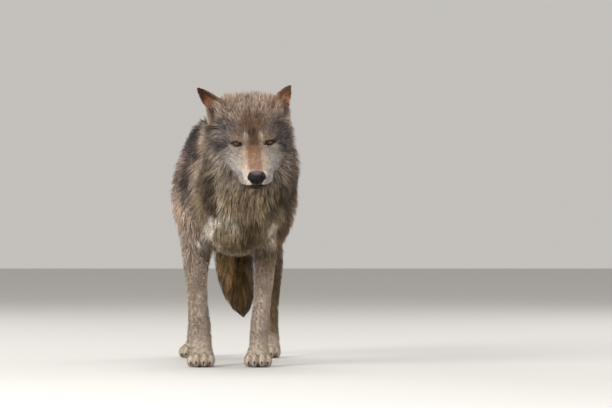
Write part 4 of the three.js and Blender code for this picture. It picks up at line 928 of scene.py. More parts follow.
    # painted shade along the lower edges of the muzzle, one line each side
    stroke([[-188, 84], [-180, 66], [-170, 48]], 20, tone(142, 134, 130), 0.9, -150, hw)
    stroke([[-97, 92], [-104, 72], [-112, 54]], 17, tone(138, 131, 127), 0.75, -150, hw)
    stroke([[-156, 46], [-142, 42], [-126, 46]], 12, tone(66, 58, 46), 0.8, -150, hw)
    i = np.nonzero((p[:, 1] < -150) & (p[:, 2] > 420))[0]
    if len(i):
        q = to_head(p[i])
        full, col = col, col[i]
        ax, y, z = np.abs(q[:, 0]), q[:, 1], q[:, 2]
        m = np.stack([ax, y, z], 1)
        k1, k2 = noise(q, 13, 21), noise(q, 5, 22)
        jit = m + 2.5 * k1[:, None]
        streaks = smooth(-0.4, 0.4, noise(q * np.array([1, 0.25, 0.25]), 5, 24))
        hh = hw[i]
        lay(C_CROWN * 1.1, hh * spot(jit, [0, 100, 66], [80, 34, 30]), 0.6)
        lay(C_FOREHEAD * np.array([0.95, 0.84, 0.75]), hh * spot(jit, [0, 36, 42], [35, 34, 27]), 0.85)
        lay(C_TEMPLE, hh * spot(jit, [68, 46, 20], [24, 46, 32]) * (0.5 + 0.5 * streaks), 0.3)
        lay(C_TEMPLE * 0.75, hh * spot(jit, [70, 22, -4], [17, 24, 20]) * (0.5 + 0.5 * streaks), 0.3)
        streak = smooth(-0.1, 0.5, noise(q * np.array([1, 0.25, 0.25]), 4.5, 23))
        lay(C_DARK, hh * spot(jit, [0, 8, 24], [15, 24, 20]) * (0.3 + 0.7 * streak), 0.85)
        lay(C_MUZZLE_SIDE * 1.1, hh * spot(m + 2 * k2[:, None], [21, -1, 15], [8, 13, 16], 0.6) * (0.7 + 0.3 * streaks), 0.95)
        lay(C_CHEEK * 1.25, hh * spot(jit, [46, 0, -27], [24, 22, 11]), 0.7)
        lay(C_WHITE, hh * spot(jit, [52, -14, -60], [26, 46, 30]), 0.85)
        lay(C_WHITE * 0.8, hh * spot(jit, [66, 30, -62], [18, 26, 24]), 0.6)
        grain = smooth(0.0, 0.9, noise(q * np.array([1, 0.45, 1]), 3.2, 25)) * smooth(-60, -30, y) * smooth(24, 34, ax) * smooth(0, -14, z)
        lay(C_CHEEK * 0.5, hh * grain, 0.6)
        # painted shade along the lower edge of the muzzle
        lay(C_WHITE * 0.5, hh * smooth(-58, -70, z + 2 * k1) * smooth(-20, -50, y) * smooth(14, 20, ax), 0.7)
        lay(C_MUZZLE_TOP * np.array([0.55, 0.5, 0.46]), hh * spot(jit, [0, -4, 9], [14, 17, 13]), 0.65)
        # painted shade on the chin, below the mouth and under the muzzle
        chin_shade = hh * smooth(1.5, -2, z - mouth_line(y)) * smooth(-60, -85, y)
        lay(C_THROAT * 0.22, chin_shade, 0.95)
        # round the eyes, lips, nostrils and pad
        w = wet[i]
        for side in (-1, 1):
            gap, f = opening(q, side)
            c = eye_axes(side)[0]
            ball = np.linalg.norm(q - c, axis=1)
            low_ = smooth(1, -2, (q - c) @ eye_axes(side)[3])
            rim = smooth(6.4 - 1.6 * low_, 3.6 - 1.2 * low_, gap) * (f > 0) * smooth(EYE_R + 7, EYE_R + 3, ball)
            tail_ = spot(q, c + np.array([side * 17, 2, -0.5]), [7.5, 10, 3])
            lay(C_BLACK * 1.3, tail_, 0.9)
            lay(C_BLACK * 0.5, rim, 0.96)
            w = np.maximum(w, 0.4 * rim * (gap < 3.5))
            cc = c + np.array([-side * 13.5, -10, -3.5])
            tear = spot(q, cc, [4.6, 6, 2.8])
            lay(C_BLACK * 1.2, tear, 0.9)
        pad = smooth(1.4, 0.3, nose_field(q))
        lay(C_BLACK * 0.32, pad, 1.0)
        # painted sheen over the top of the nose pad, then a painted highlight along its top edge
        lay(tone(80, 68, 70), pad * smooth(-30.5, -25, z + 0.6 * k2), 0.34)
        lay(tone(124, 108, 112), pad * smooth(-27, -23.8, z), 0.42)
        lay(C_BLACK * 0.9, hh * smooth(18, 12, ax) * smooth(-98, -106, y) * smooth(-47, -51, z), 0.85)
        bite = smooth(24, 12, ax) * smooth(-80, -95, y)
        lips = smooth(3.6 + 3 * bite, 1.6 + 2 * bite, np.abs(z - mouth_line(y) + 1.0 + bite)) * smooth(-12, -22, y) * (ax < 60) * (hh > 0.5)
        lay(C_BLACK, lips * (1 - 0.6 * smooth(21, 27, ax) * smooth(-56, -66, y)), 0.95)
        w = np.maximum(w, np.maximum(pad, 0.6 * lips))
        full[i] = col
        col = full
        wet[i] = w
    calm = 0.35 + 0.65 * smooth(8, 30, e["L"])
    shade = 1 + (0.16 * n1 + 0.12 * n2) * calm
    return np.clip(col * shade[:, None], 0.002, 1), np.clip(pepper, 0, 1), wet


# ------------------------------------------------------------------ materials
def material(name, attribute=None, base=(0.5, 0.5, 0.5), rough=0.7, specular=0.3, sheen=0.0, coat=0.0, bump=None, rough_by=None, spread=0.0, hairs=0.0, pebbles=None):
    m = bpy.data.materials.new(name)
    m.use_nodes = True
    t = m.node_tree
    b = t.nodes["Principled BSDF"]
    b.inputs["Base Color"].default_value = (*base, 1)
    b.inputs["Roughness"].default_value = rough
    b.inputs["Specular IOR Level"].default_value = specular
    b.inputs["Sheen Weight"].default_value = sheen
    b.inputs["Coat Weight"].default_value = coat
    b.inputs["Coat Roughness"].default_value = 0.05
    coords = t.nodes.new("ShaderNodeTexCoord")
    if attribute:
        a = t.nodes.new("ShaderNodeAttribute")
        a.attribute_name = attribute
        out = a.outputs["Color"]
        if spread:
            n = t.nodes.new("ShaderNodeTexNoise")
            n.inputs["Scale"].default_value = 420
            n.inputs["Detail"].default_value = 3
            t.links.new(coords.outputs["Object"], n.inputs["Vector"])
            r = t.nodes.new("ShaderNodeMapRange")
            r.inputs["From Min"].default_value, r.inputs["From Max"].default_value = 0.3, 0.7
            r.inputs["To Min"].default_value, r.inputs["To Max"].default_value = 1 - spread, 1 + spread
            t.links.new(n.outputs["Fac"], r.inputs["Value"])
            mix = t.nodes.new("ShaderNodeVectorMath")
            mix.operation = "SCALE"
            t.links.new(out, mix.inputs[0])
            t.links.new(r.outputs["Result"], mix.inputs["Scale"])
            out = mix.outputs["Vector"]
        if hairs:
            h = t.nodes.new("ShaderNodeAttribute")
            h.attribute_name = "hairs"
            n = t.nodes.new("ShaderNodeTexNoise")
            n.inputs["Scale"].default_value = 1.5
            n.inputs["Detail"].default_value = 2
            t.links.new(h.outputs["Vector"], n.inputs["Vector"])
            r = t.nodes.new("ShaderNodeMapRange")
            r.inputs["From Min"].default_value, r.inputs["From Max"].default_value = 0.3, 0.7
            r.inputs["To Min"].default_value, r.inputs["To Max"].default_value = 1 - hairs, 1 + hairs
            t.links.new(n.outputs["Fac"], r.inputs["Value"])
            mix = t.nodes.new("ShaderNodeVectorMath")
            mix.operation = "SCALE"
            t.links.new(out, mix.inputs[0])
            t.links.new(r.outputs["Result"], mix.inputs["Scale"])
            out = mix.outputs["Vector"]
            u = t.nodes.new("ShaderNodeBump")
            u.inputs["Strength"].default_value = 0.5
            u.inputs["Distance"].default_value = 0.0004
            t.links.new(n.outputs["Fac"], u.inputs["Height"])
            t.links.new(u.outputs["Normal"], b.inputs["Normal"])
        t.links.new(out, b.inputs["Base Color"])
    if rough_by:
        a = t.nodes.new("ShaderNodeAttribute")
        a.attribute_name = rough_by[0]
        r = t.nodes.new("ShaderNodeMapRange")
        r.inputs["To Min"].default_value, r.inputs["To Max"].default_value = rough_by[1], rough_by[2]
        t.links.new(a.outputs["Fac"], r.inputs["Value"])
        t.links.new(r.outputs["Result"], b.inputs["Roughness"])
    if bump:
        scale, strength, distance = bump
        n = t.nodes.new("ShaderNodeTexNoise")
        n.inputs["Scale"].default_value = scale
        n.inputs["Detail"].default_value = 4
        t.links.new(coords.outputs["Object"], n.inputs["Vector"])
        u = t.nodes.new("ShaderNodeBump")
        u.inputs["Strength"].default_value = strength
        u.inputs["Distance"].default_value = distance
        t.links.new(n.outputs["Fac"], u.inputs["Height"])
        t.links.new(u.outputs["Normal"], b.inputs["Normal"])
        if pebbles:
            v = t.nodes.new("ShaderNodeTexVoronoi")
            v.inputs["Scale"].default_value = pebbles
            t.links.new(coords.outputs["Object"], v.inputs["Vector"])
            a = t.nodes.new("ShaderNodeAttribute")
            a.attribute_name = "wet"
            f = t.nodes.new("ShaderNodeBump")
            f.inputs["Distance"].default_value = 0.0005
            f.invert = True
            t.links.new(a.outputs["Fac"], f.inputs["Strength"])
            t.links.new(v.outputs["Distance"], f.inputs["Height"])
            t.links.new(u.outputs["Normal"], f.inputs["Normal"])
            t.links.new(f.outputs["Normal"], b.inputs["Normal"])
    return m


# ------------------------------------------------------------------ the skin
def split_long(pos, tri, zone, longest):
    """Halves the marked edges longer than `longest` and splits their triangles to suit."""
    e = np.concatenate([tri[:, [0, 1]], tri[:, [1, 2]], tri[:, [2, 0]]])
    key = np.sort(e, 1)
    uniq, inv = np.unique(key[:, 0].astype(np.int64) * len(pos) + key[:, 1], return_inverse=True)
    a, b = (uniq // len(pos)).astype(int), (uniq % len(pos)).astype(int)
    mark = (zone[a] | zone[b]) & (((pos[a] - pos[b]) ** 2).sum(1) > longest**2)
    new = np.full(len(uniq), -1)
    new[mark] = len(pos) + np.arange(mark.sum())
    pos2 = np.concatenate([pos, (pos[a[mark]] + pos[b[mark]]) / 2])
    zone2 = np.concatenate([zone, np.ones(mark.sum(), bool)])
    m = new[inv].reshape(3, -1).T
    cnt = (m >= 0).sum(1)
    out = [tri[cnt == 0]]
    t, k = tri[cnt == 3], m[cnt == 3]
    out += [np.stack([t[:, 0], k[:, 0], k[:, 2]], 1), np.stack([t[:, 1], k[:, 1], k[:, 0]], 1), np.stack([t[:, 2], k[:, 2], k[:, 1]], 1), k]
    for i in range(3):
        j, l = (i + 1) % 3, (i + 2) % 3
        s = (cnt == 1) & (m[:, i] >= 0)
        t, k = tri[s], m[s]
        out += [np.stack([t[:, i], k[:, i], t[:, l]], 1), np.stack([k[:, i], t[:, j], t[:, l]], 1)]
        s = (cnt == 2) & (m[:, i] < 0)
        t, k = tri[s], m[s]
        out += [np.stack([t[:, l], k[:, l], k[:, j]], 1), np.stack([t[:, i], t[:, j], k[:, j]], 1), np.stack([t[:, i], k[:, j], k[:, l]], 1)]
    return pos2, np.concatenate(out), zone2


def relax(pos, tri, ids, amount, f):
    """Evens out the marked points along the surface and sets them back on it."""
    nb = np.zeros((len(pos), 3))
    cn = np.zeros(len(pos))
    for i in range(3):
        j = (i + 1) % 3
        for a, b in ((tri[:, i], tri[:, j]), (tri[:, j], tri[:, i])):
            for c in range(3):
                nb[:, c] += np.bincount(a, pos[b, c], len(pos))
            cn += np.bincount(a, minlength=len(pos))
    p = pos[ids]
    p = p + (nb[ids] / cn[ids, None] - p) * amount
    for _ in range(2):
        g, v = gradient(f, p, 0.35), f(p)
        l2 = np.maximum((g**2).sum(1), 0.15)
        p = p - g * np.clip(v / l2, -2.0, 2.0)[:, None]
    pos = pos.copy()
    pos[ids] = p
    return pos


def largest(pos, tri):
    label = np.arange(len(pos))
    for _ in range(400):
        m = label[tri].min(1)
        new = label.copy()
        for i in range(3):
            np.minimum.at(new, tri[:, i], m)
        new = new[new]
        if (new == label).all():
            break
        label = new
    keep = np.bincount(label).argmax()
    t = tri[label[tri[:, 0]] == keep]
    used = np.unique(t)
    back = np.zeros(len(pos), int)
    back[used] = np.arange(len(used))
    return pos[used], back[t]


import time
T0 = time.time()


def said(*a):
    print("[%6.1f]" % (time.time() - T0), *a, flush=True)


PITCH = 3.0
pos, tri = nets(PITCH, np.array([-200.0, -475, -6]), np.array([200.0, 725, 800]))
said("nets", len(pos), len(tri))
pos, tri = largest(pos, tri)
said("largest", len(pos), len(tri))

rough = make_mesh("rough", pos, tri)
q = to_head(pos)
fine = ((pos[:, 1] < -230) & (np.abs(q[:, 0]) < 150) & (q[:, 1] < 75) & (q[:, 2] > -110)) | ((pos[:, 1] < -200) & (q[:, 2] > 20) & (q[:, 1] < 190)) | (pos[:, 2] < 60)
vg = rough.vertex_groups.new(name="soft")
vg.add(np.nonzero(~fine)[0].tolist(), 1.0, "REPLACE")
mod = rough.modifiers.new("d", "DECIMATE")
mod.ratio = 0.32
mod.use_collapse_triangulate = True
mod.vertex_group = "soft"
mod.vertex_group_factor = 1.0
dg = bpy.context.evaluated_depsgraph_get()
m = rough.evaluated_get(dg).to_mesh()
pos = np.empty(len(m.vertices) * 3)
m.vertices.foreach_get("co", pos)
pos = pos.reshape(-1, 3) * 1000 + ORIGIN
m.calc_loop_triangles()
tri = np.empty(len(m.loop_triangles) * 3, int)
m.loop_triangles.foreach_get("vertices", tri)
tri = tri.reshape(-1, 3)
rough.evaluated_get(dg).to_mesh_clear()
bpy.data.objects.remove(rough, do_unlink=True)
said("decimated", len(pos), len(tri))


def zone_of(p, reach):
    """Parts of the face that need a finer skin: round the eyes, the nose and the lips."""
    q = to_head(p)
    z = np.zeros(len(p), bool)
    for side in (-1, 1):
        c, a, u, v = eye_axes(side)
        r = q - c
        z |= (np.abs(r @ u) < 17 * reach) & (np.abs(r @ v) < 12 * reach) & (r @ a > 0) & (np.linalg.norm(r, axis=1) < 22)
    z |= nose_field(q) < 3.5 * reach
    z |= (np.abs(q[:, 2] - mouth_line(q[:, 1])) < 6.5 * reach) & (np.abs(q[:, 0]) < 62) & (q[:, 1] < -8)
    return z & (p[:, 1] < -220)


every = np.arange(len(pos))
pos = relax(pos, tri, every, 0.25, skin)
ears = np.nonzero((pos[:, 1] < -200) & (to_head(pos)[:, 2] > 40) & (np.abs(to_head(pos)[:, 0]) > 45))[0]
for _ in range(4):
    pos = relax(pos, tri, ears, 0.5, skin)
for longest, reach in ((1.9, 1.15), (1.05, 1.0)):
    z = zone_of(pos, reach)
    pos, tri, z = split_long(pos, tri, z, longest)
    for _ in range(4):
        pos = relax(pos, tri, np.nonzero(z)[0], 0.5, skin)
said("refined", len(pos), len(tri))
normal = gradient(skin, pos, 0.8)
normal /= np.maximum(np.linalg.norm(normal, axis=1, keepdims=True), 1e-9)
E = evaluate(pos, "all")
col, pepper, wet = markings_and_painted_light(pos + normal * np.maximum(E["T"] - 6, 0)[:, None] * 0.6, E)
body_skin = make_mesh("skin", pos, tri)
# skin under a deep coat painted darker: darker underfur and painted shade between the tufts
underfur_and_shade = np.where(E["T"][:, None] > 6, 0.8, 1.0)
paint(body_skin, col * underfur_and_shade)
put(body_skin, "wet", wet)
said("skin painted")

# ------------------------------------------------------------------ unwrap of the skin, for the coat's own map
chart = body_skin.copy()
chart.data = body_skin.data.copy()
bpy.context.scene.collection.objects.link(chart)
mod = chart.modifiers.new("d", "DECIMATE")
mod.ratio = 0.06
dg = bpy.context.evaluated_depsgraph_get()
low = bpy.data.meshes.new_from_object(chart.evaluated_get(dg))
bpy.data.objects.remove(chart, do_unlink=True)
chart = bpy.data.objects.new("chart", low)
bpy.context.scene.collection.objects.link(chart)
bpy.context.view_layer.objects.active = chart
chart.select_set(True)
bpy.ops.object.mode_set(mode="EDIT")
bpy.ops.mesh.select_all(action="SELECT")
bpy.ops.uv.smart_project(angle_limit=math.radians(66), island_margin=0.004)
bpy.ops.object.mode_set(mode="OBJECT")
low = chart.data
low.calc_loop_triangles()
from mathutils.bvhtree import BVHTree
lco = np.empty(len(low.vertices) * 3)
low.vertices.foreach_get("co", lco)
lco = lco.reshape(-1, 3)
lt = np.empty(len(low.loop_triangles) * 3, int)
low.loop_triangles.foreach_get("vertices", lt)
ll = np.empty(len(low.loop_triangles) * 3, int)
low.loop_triangles.foreach_get("loops", ll)
uvs = np.empty(len(low.loops) * 2)
low.uv_layers.active.data.foreach_get("uv", uvs)
uvs = uvs.reshape(-1, 2)
lt, ll = lt.reshape(-1, 3), ll.reshape(-1, 3)
tree = BVHTree.FromPolygons(lco.tolist(), lt.tolist())
bpy.data.objects.remove(chart, do_unlink=True)


def uv_at(p):
    """Place on the unwrap of the skin's shape nearest each point."""
    w = (p - ORIGIN) * 0.001
    hit = [tree.find_nearest(Vector(x)) for x in w]
    at = np.array([h[0][:] for h in hit])
    f = np.array([h[2] for h in hit])
    a, b, c = lco[lt[f, 0]], lco[lt[f, 1]], lco[lt[f, 2]]
    v0, v1, v2 = b - a, c - a, at - a
    d00, d01, d11 = (v0 * v0).sum(1), (v0 * v1).sum(1), (v1 * v1).sum(1)
    d20, d21 = (v2 * v0).sum(1), (v2 * v1).sum(1)
    den = np.maximum(d00 * d11 - d01 * d01, 1e-18)
    g = (d11 * d20 - d01 * d21) / den
    h = (d00 * d21 - d01 * d20) / den
    return uvs[ll[f, 0]] * (1 - g - h)[:, None] + uvs[ll[f, 1]] * g[:, None] + uvs[ll[f, 2]] * h[:, None]


said("unwrapped", len(lt))

# ------------------------------------------------------------------ the coat
rng = np.random.default_rng(7)


def unit(v):
    return v / np.maximum(np.linalg.norm(v, axis=1, keepdims=True), 1e-9)


def round_eyes(p, flow):
    """Hair near an eye turns away from it."""
    i = np.nonzero((p[:, 1] < -250) & (p[:, 2] > 500))[0]
    q = to_head(p[i])
    f = flow[i]
    for side in (-1, 1):
        c, a, u, v = eye_axes(side)
        r = q - c
        x, y, z = r @ u, r @ v, r @ a
        near = np.exp(-((x / 24) ** 2 + (y / 17) ** 2)) * (z > -8)
        away = u * (x / 14)[:, None] + v * (y / 7)[:, None]
        away = away / np.maximum(np.linalg.norm(away, axis=1, keepdims=True), 0.3)
        f = f + (away @ HEAD_R.T) * (2.6 * near)[:, None]
    out = flow.copy()
    out[i] = f
    return out


def env_gradient(p, e=2.5):
    step = np.array([[1, -1, -1], [-1, 1, -1], [-1, -1, 1], [1, 1, 1]], float) * e
    v = evaluate(np.concatenate([p + s for s in step])).reshape(4, -1)
    g = sum(v[i][:, None] * step[i] for i in range(4)) / (4 * e * e)
    return unit(g), v.mean(0)


def tangent(f, n):
    return unit(f - n * (f * n).sum(1, keepdims=True))


def on_tail(p):
    return ((p[:, 1] > 596) & (p[:, 2] > 110) & (np.abs(p[:, 0] + 4) < 60)) | ((p[:, 1] > 575) & (p[:, 2] > 330) & (np.abs(p[:, 0] + 4) < 50))


def spacing(p, L, T, head_, tail_):
    """Distance between the roots of neighbouring tufts: closest on the head, neck and breast."""
    gap = np.interp(L, [3, 9, 16, 30, 50, 80], [2.0, 2.15, 2.55, 3.1, 3.65, 4.3]) * np.where((T < 6.5) & (head_ < 0.5), 1.2, 1.0) * np.where(tail_, 0.72, 1.0)
    gap = gap * (1 - 0.06 * head_) * (1 - 0.17 * smooth(-20, -90, p[:, 1]) * smooth(7, 14, L)) * (1 + 0.08 * smooth(120, 200, p[:, 1]) + 0.05 * smooth(300, 420, p[:, 1]) * (1 - tail_))
    return gap * (1 + 0.16 * smooth(330, 270, p[:, 2]) * smooth(-150, -120, p[:, 1]) * (1 - tail_) + 0.2 * smooth(90, 65, p[:, 2]) * (1 - tail_))


# roots, none in the eyes, on the nose, lips or soles
a, b, c = pos[tri[:, 0]], pos[tri[:, 1]], pos[tri[:, 2]]
area = np.linalg.norm(np.cross(b - a, c - a), axis=1) / 2
mid = (a + b + c) / 3
gap_between = spacing(mid, E["L"][tri].mean(1), E["T"][tri].mean(1), E["head"][tri].mean(1), on_tail(mid))
density = np.where((wet[tri].max(1) > 0.25) | (mid[:, 2] < 3.0), 0, 1 / gap_between**2)
count = rng.poisson(area * density)
f_id = np.repeat(np.arange(len(tri)), count)
u, v = rng.random((2, len(f_id)))
flip = u + v > 1
u[flip], v[flip] = 1 - u[flip], 1 - v[flip]
w3 = np.stack([1 - u - v, u, v], 1)
root = (pos[tri[f_id]] * w3[:, :, None]).sum(1)
nrm = unit((normal[tri[f_id]] * w3[:, :, None]).sum(1))
R = evaluate(root, "all")
swirl = np.stack([0.36 * noise(root, 34, 50 + k) + 0.26 * noise(root, 12, 60 + k) for k in range(3)], 1)
R["flow"] = unit(round_eyes(root, unit(unit(R["flow"]) + swirl * smooth(8, 34, R["L"])[:, None])))
said("roots", len(root), "area", area.sum() / 1e6)


def grow(root, nrm, R, length, lift):
    """Centre line of each tuft: three steps from the skin to near the tips' surface, along the lie of the coat."""
    T = R["T"]
    pts = [root - nrm * np.minimum(1.2, 0.3 + T * 0.04)[:, None]]
    at, dirn = root, R["flow"]
    for k, (t0, t1, r0, r1) in enumerate(((0, 0.34, 0, 0.55), (0.34, 0.68, 0.55, 0.86), (0.68, 1.0, 0.86, 1.0))):
        step = length * (t1 - t0)
        cur = -T + (lift + T) * r1
        dz = cur - (-T + (lift + T) * r0)
        run = np.sqrt(np.maximum(step**2 - dz**2, (0.45 * step) ** 2))
        g, d = env_gradient(at)
        dirn = tangent(dirn * 0.45 + R["flow"] * 0.55, g)
        at = at + dirn * run[:, None] + g * dz[:, None]
        g, d = env_gradient(at)
        at = at + g * np.clip(cur - d, -0.5 * step, 0.5 * step)[:, None]
        at[:, 2] = np.maximum(at[:, 2], 0.6)
        pts.append(at)
    return pts, g


hq = to_head(root)
n = len(root)
length = R["L"] * rng.uniform(0.64, 1.08, n)
length = np.where(on_tail(root), np.minimum(length, np.maximum(12, (root[:, 2] - 122) * rng.uniform(0.85, 1.15, n))), length)
lift = R["T"] * np.where(rng.random(n) < 0.14, rng.uniform(-0.05, 0.16, n), rng.uniform(-0.3, 0.03, n))
spiky = R["head"] * smooth(28, 50, hq[:, 2]) * smooth(30, 60, hq[:, 1]) * smooth(84, 66, np.abs(hq[:, 0]))
lift = lift + R["T"] * spiky * rng.uniform(0.1, 1.1, n)
pts, up = grow(root, nrm, R, length, lift)
said("grown")

# locks: tufts lean together towards the tuft at the heart of each lock
per = np.interp(R["L"], [9, 16, 30, 60, 80], [6, 6, 7, 10, 13])
hid = np.nonzero(rng.random(n) < (spacing(root, R["L"], R["T"], R["head"], on_tail(root)) / per) ** 2)[0]
kd = KDTree(len(hid))
wr = root + rng.normal(0, 0.9, root.shape)
for j, i in enumerate(hid):
    kd.insert(Vector(wr[i]), j)
kd.balance()
owner = np.array([hid[kd.find(Vector(x))[1]] for x in wr])
pull = np.interp(R["L"], [8, 16, 40, 80], [0.12, 0.24, 0.38, 0.5]) * rng.uniform(0.5, 1.2, n)
for k, amt in ((1, 0.18), (2, 0.55), (3, 1.0)):
    delta = pts[k][owner] - pts[k]
    ok = np.linalg.norm(delta, axis=1) < 3.0 * per
    pts[k] = pts[k] + delta * (pull * amt * ok)[:, None]
    pts[k][:, 2] = np.maximum(pts[k][:, 2], 0.6)
said("locks", len(hid))

# no tuft lies across an eye or the nose
across_eye = np.zeros(n, bool)
face = np.nonzero((root[:, 1] < -300) & (root[:, 2] > 480))[0]
for k in (1, 2, 3):
    for t in (0.5, 1.0):
        q = to_head(pts[k - 1][face] * (1 - t) + pts[k][face] * t)
        for side in (-1, 1):
            gap, front = opening(q, side)
            ball = np.linalg.norm(q - eye_axes(side)[0], axis=1)
            across_eye[face] |= (gap < 1.4) & (front > 0) & (ball < EYE_R + 12)
        across_eye[face] |= nose_field(q) < 0.2
keep = ~across_eye
root, nrm, length, owner_tone = root[keep], nrm[keep], length[keep], rng.normal(0, 1, n)[owner][keep]
clump_hue = np.clip(rng.normal(0.04, 0.09, n)[owner][keep], -0.12, 0.35)
R = {k: v[keep] for k, v in R.items()}
pts, up, hq = [p[keep] for p in pts], up[keep], hq[keep]
n = len(root)

show = root + (pts[2] - root) * 0.9
base_col, base_pep, _ = markings_and_painted_light(show, R)
pale = np.clip(1 + (0.11 + 0.13 * smooth(12, 34, R["L"])) * owner_tone + (0.13 + 0.04 * smooth(12, 34, R["L"])) * rng.normal(0, 1, n), 0.42, 1.8)
grey = base_col.mean(1, keepdims=True)
base_col = (base_col * (1 - clump_hue[:, None]) + grey * clump_hue[:, None]) * pale[:, None]
tipdark = np.where(rng.random(n) < base_pep * (0.7 + 0.3 * np.sign(owner_tone)), rng.uniform(0.22, 0.6, n), 1.0)
tippale = np.where(tipdark == 1, 1 + np.interp(R["L"], [12, 40], [0.05, 0.3]) * rng.random(n), 1.0)

names = ["face", "crown", "ruff", "neck", "breast", "mantle", "flanks", "rump", "tail", "forelegs", "hindlegs", "feet"]
part = np.full(n, 6)
part[root[:, 1] > 380] = 7
part[root[:, 1] < 120] = 5
part[root[:, 1] < -80] = 3
part[(root[:, 1] < -80) & (root[:, 2] < 500)] = 4
part[R["head"] > 0.4] = 2
part[(R["head"] > 0.4) & (hq[:, 1] < 42)] = 0
part[(R["head"] > 0.4) & (hq[:, 2] > 12) & (hq[:, 1] >= 42)] = 1
part[(root[:, 2] < 360) & (root[:, 1] < 160) & (R["head"] < 0.4)] = 9
part[(root[:, 2] < 330) & (root[:, 1] > 260)] = 10
part[on_tail(root)] = 8
part[root[:, 2] < 70] = 11

LONG = R["L"] > 49  # bent tufts of three parts; the rest have two


def spears(name, sel, long_):
    """Tufts as tapered three-sided blades, flattened against the coat: points, triangles and colours."""
    m = len(sel)
    P = [p[sel] for p in pts]
    P = P if long_ else [P[0], (P[1] + P[2]) / 2, P[3]]
    profile = ((0.7, 0.45), (1.0, 0.5), (0.62, 0.34)) if long_ else ((0.85, 0.4), (0.9, 0.42))
    k_rings = len(profile)
    wide = (1 - 0.12 * smooth(-20, -90, root[sel, 1])) * np.interp(R["L"][sel], [4, 9, 16, 30, 60, 80], [0.7, 0.9, 1.1, 1.4, 1.85, 2.3]) * rng.uniform(0.7, 1.3, m)
    g = up[sel]
    rings = []
    roll = rng.normal(0, 0.45, m)
    for k in range(k_rings):
        d = unit(P[k + 1] - P[k]) if k == 0 else unit(P[k + 1] - P[k - 1])
        s = unit(np.cross(d, g))
        h = np.cross(s, d)
        c, sn = np.cos(roll)[:, None], np.sin(roll)[:, None]
        s, h = s * c + h * sn, h * c - s * sn
        w, t = profile[k]
        half, th = (wide * w / 2)[:, None], (wide * t)[:, None]
        rings.append(np.stack([P[k] - s * half, P[k] + s * half, P[k] + h * th], 1))
    V = np.concatenate(rings + [P[-1][:, None]], 1)
    V[:, :, 2] = np.maximum(V[:, :, 2], 0.45)
    F = [[0, 2, 1]]
    for r in range(k_rings - 1):
        for i in range(3):
            j = (i + 1) % 3
            A, B, C, D = r * 3 + i, r * 3 + j, r * 3 + 3 + j, r * 3 + 3 + i
            F += [[A, B, C], [A, C, D]]
    e, tip = (k_rings - 1) * 3, k_rings * 3
    F += [[e, e + 1, tip], [e + 1, e + 2, tip], [e + 2, e, tip]]
    F = np.array(F)
    c = base_col[sel]
    dark, pl = tipdark[sel][:, None], tippale[sel][:, None]
    # each tuft darker at its root: darker underfur and painted shade deep in the coat
    shades = [c * 0.68, c * (0.95 + 0.05 * dark), c * (pl * 0.9 + 0.1) * np.where(dark < 1, dark * 0.6 + 0.4, 1), c * pl * dark]
    if not long_:
        shades = [shades[0] * 1.15, (shades[1] + shades[2]) / 2, shades[3]]
    C = np.concatenate([np.repeat(x[:, None], 3, 1) for x in shades[:-1]] + [shades[-1][:, None]], 1)
    v = 3 * k_rings + 1
    across = np.array([-1, 1, 0] * k_rings + [0]) * 0.0006
    along = np.array(sum([[i / k_rings] * 3 for i in range(k_rings)], []) + [1]) * 0.003 - 0.0015
    UV = uv_at(root[sel])[:, None] + np.stack([across, along], 1)[None]
    own = rng.random((m, 3)) * (40, 60, 20)
    reach = np.linalg.norm(P[-1] - P[0], axis=1)
    S = np.stack([own[:, :1] + (across / 0.0006)[None] * 1.5 * wide[:, None] ** 0.5, own[:, 1:2] + (along / 0.003 + 0.5)[None] * (reach / 13)[:, None], np.repeat(own[:, 2:], v, 1)], 2)
    faces = (F[None] + v * np.arange(m)[:, None, None]).reshape(-1, 3)
    return V.reshape(-1, 3), faces, C.reshape(-1, 3), UV.reshape(-1, 2), S.reshape(-1, 3)


def coat_piece(name, sel):
    a, b = sel[LONG[sel]], sel[~LONG[sel]]
    got = [spears(name, x, long_) for x, long_ in ((a, True), (b, False)) if len(x)]
    shift = np.cumsum([0] + [len(x[0]) for x in got])
    faces = np.concatenate([x[1] + s for x, s in zip(got, shift)])
    V, C, UV, S = (np.concatenate([x[k] for x in got]) for k in (0, 2, 3, 4))
    o = make_mesh("coat_" + name, V, faces)
    paint(o, C)
    layer = o.data.uv_layers.new(name="OFBake")
    layer.data.foreach_set("uv", UV[faces.ravel()].astype(np.float32).ravel())
    hairs = o.data.attributes.new("hairs", "FLOAT_VECTOR", "POINT")
    hairs.data.foreach_set("vector", S.astype(np.float32).ravel())
    coat.append(o)
    said(o.name, len(sel), len(faces))


coat = []
for k, name in enumerate(names):
    sel = np.nonzero(part == k)[0]
    tris = 16 * LONG[sel].sum() + 10 * (~LONG[sel]).sum()
    if tris > 180000:
        cut = np.median(root[sel, 0])
        coat_piece(name + "_right", sel[root[sel, 0] < cut])
        coat_piece(name + "_left", sel[root[sel, 0] >= cut])
    elif len(sel):
        coat_piece(name, sel)
said("tufts", n, "triangles", sum(len(o.data.polygons) for o in coat))

# ------------------------------------------------------------------ materials and pieces
fur = material("fur", "coat_colour", rough=0.72, specular=0.16, hairs=0.32)
hide = material("hide", "coat_colour", rough=0.8, specular=0.12, rough_by=("wet", 0.85, 0.3), bump=(700, 0.5, 0.0006), spread=0.18, pebbles=800)
flesh = [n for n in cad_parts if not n.startswith(("claw", "eye"))]
body_skin.data.materials.append(hide)
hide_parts(*flesh)
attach(body_skin, "root")
for o in coat:
    o.data.materials.append(fur)
    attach(o, "root")

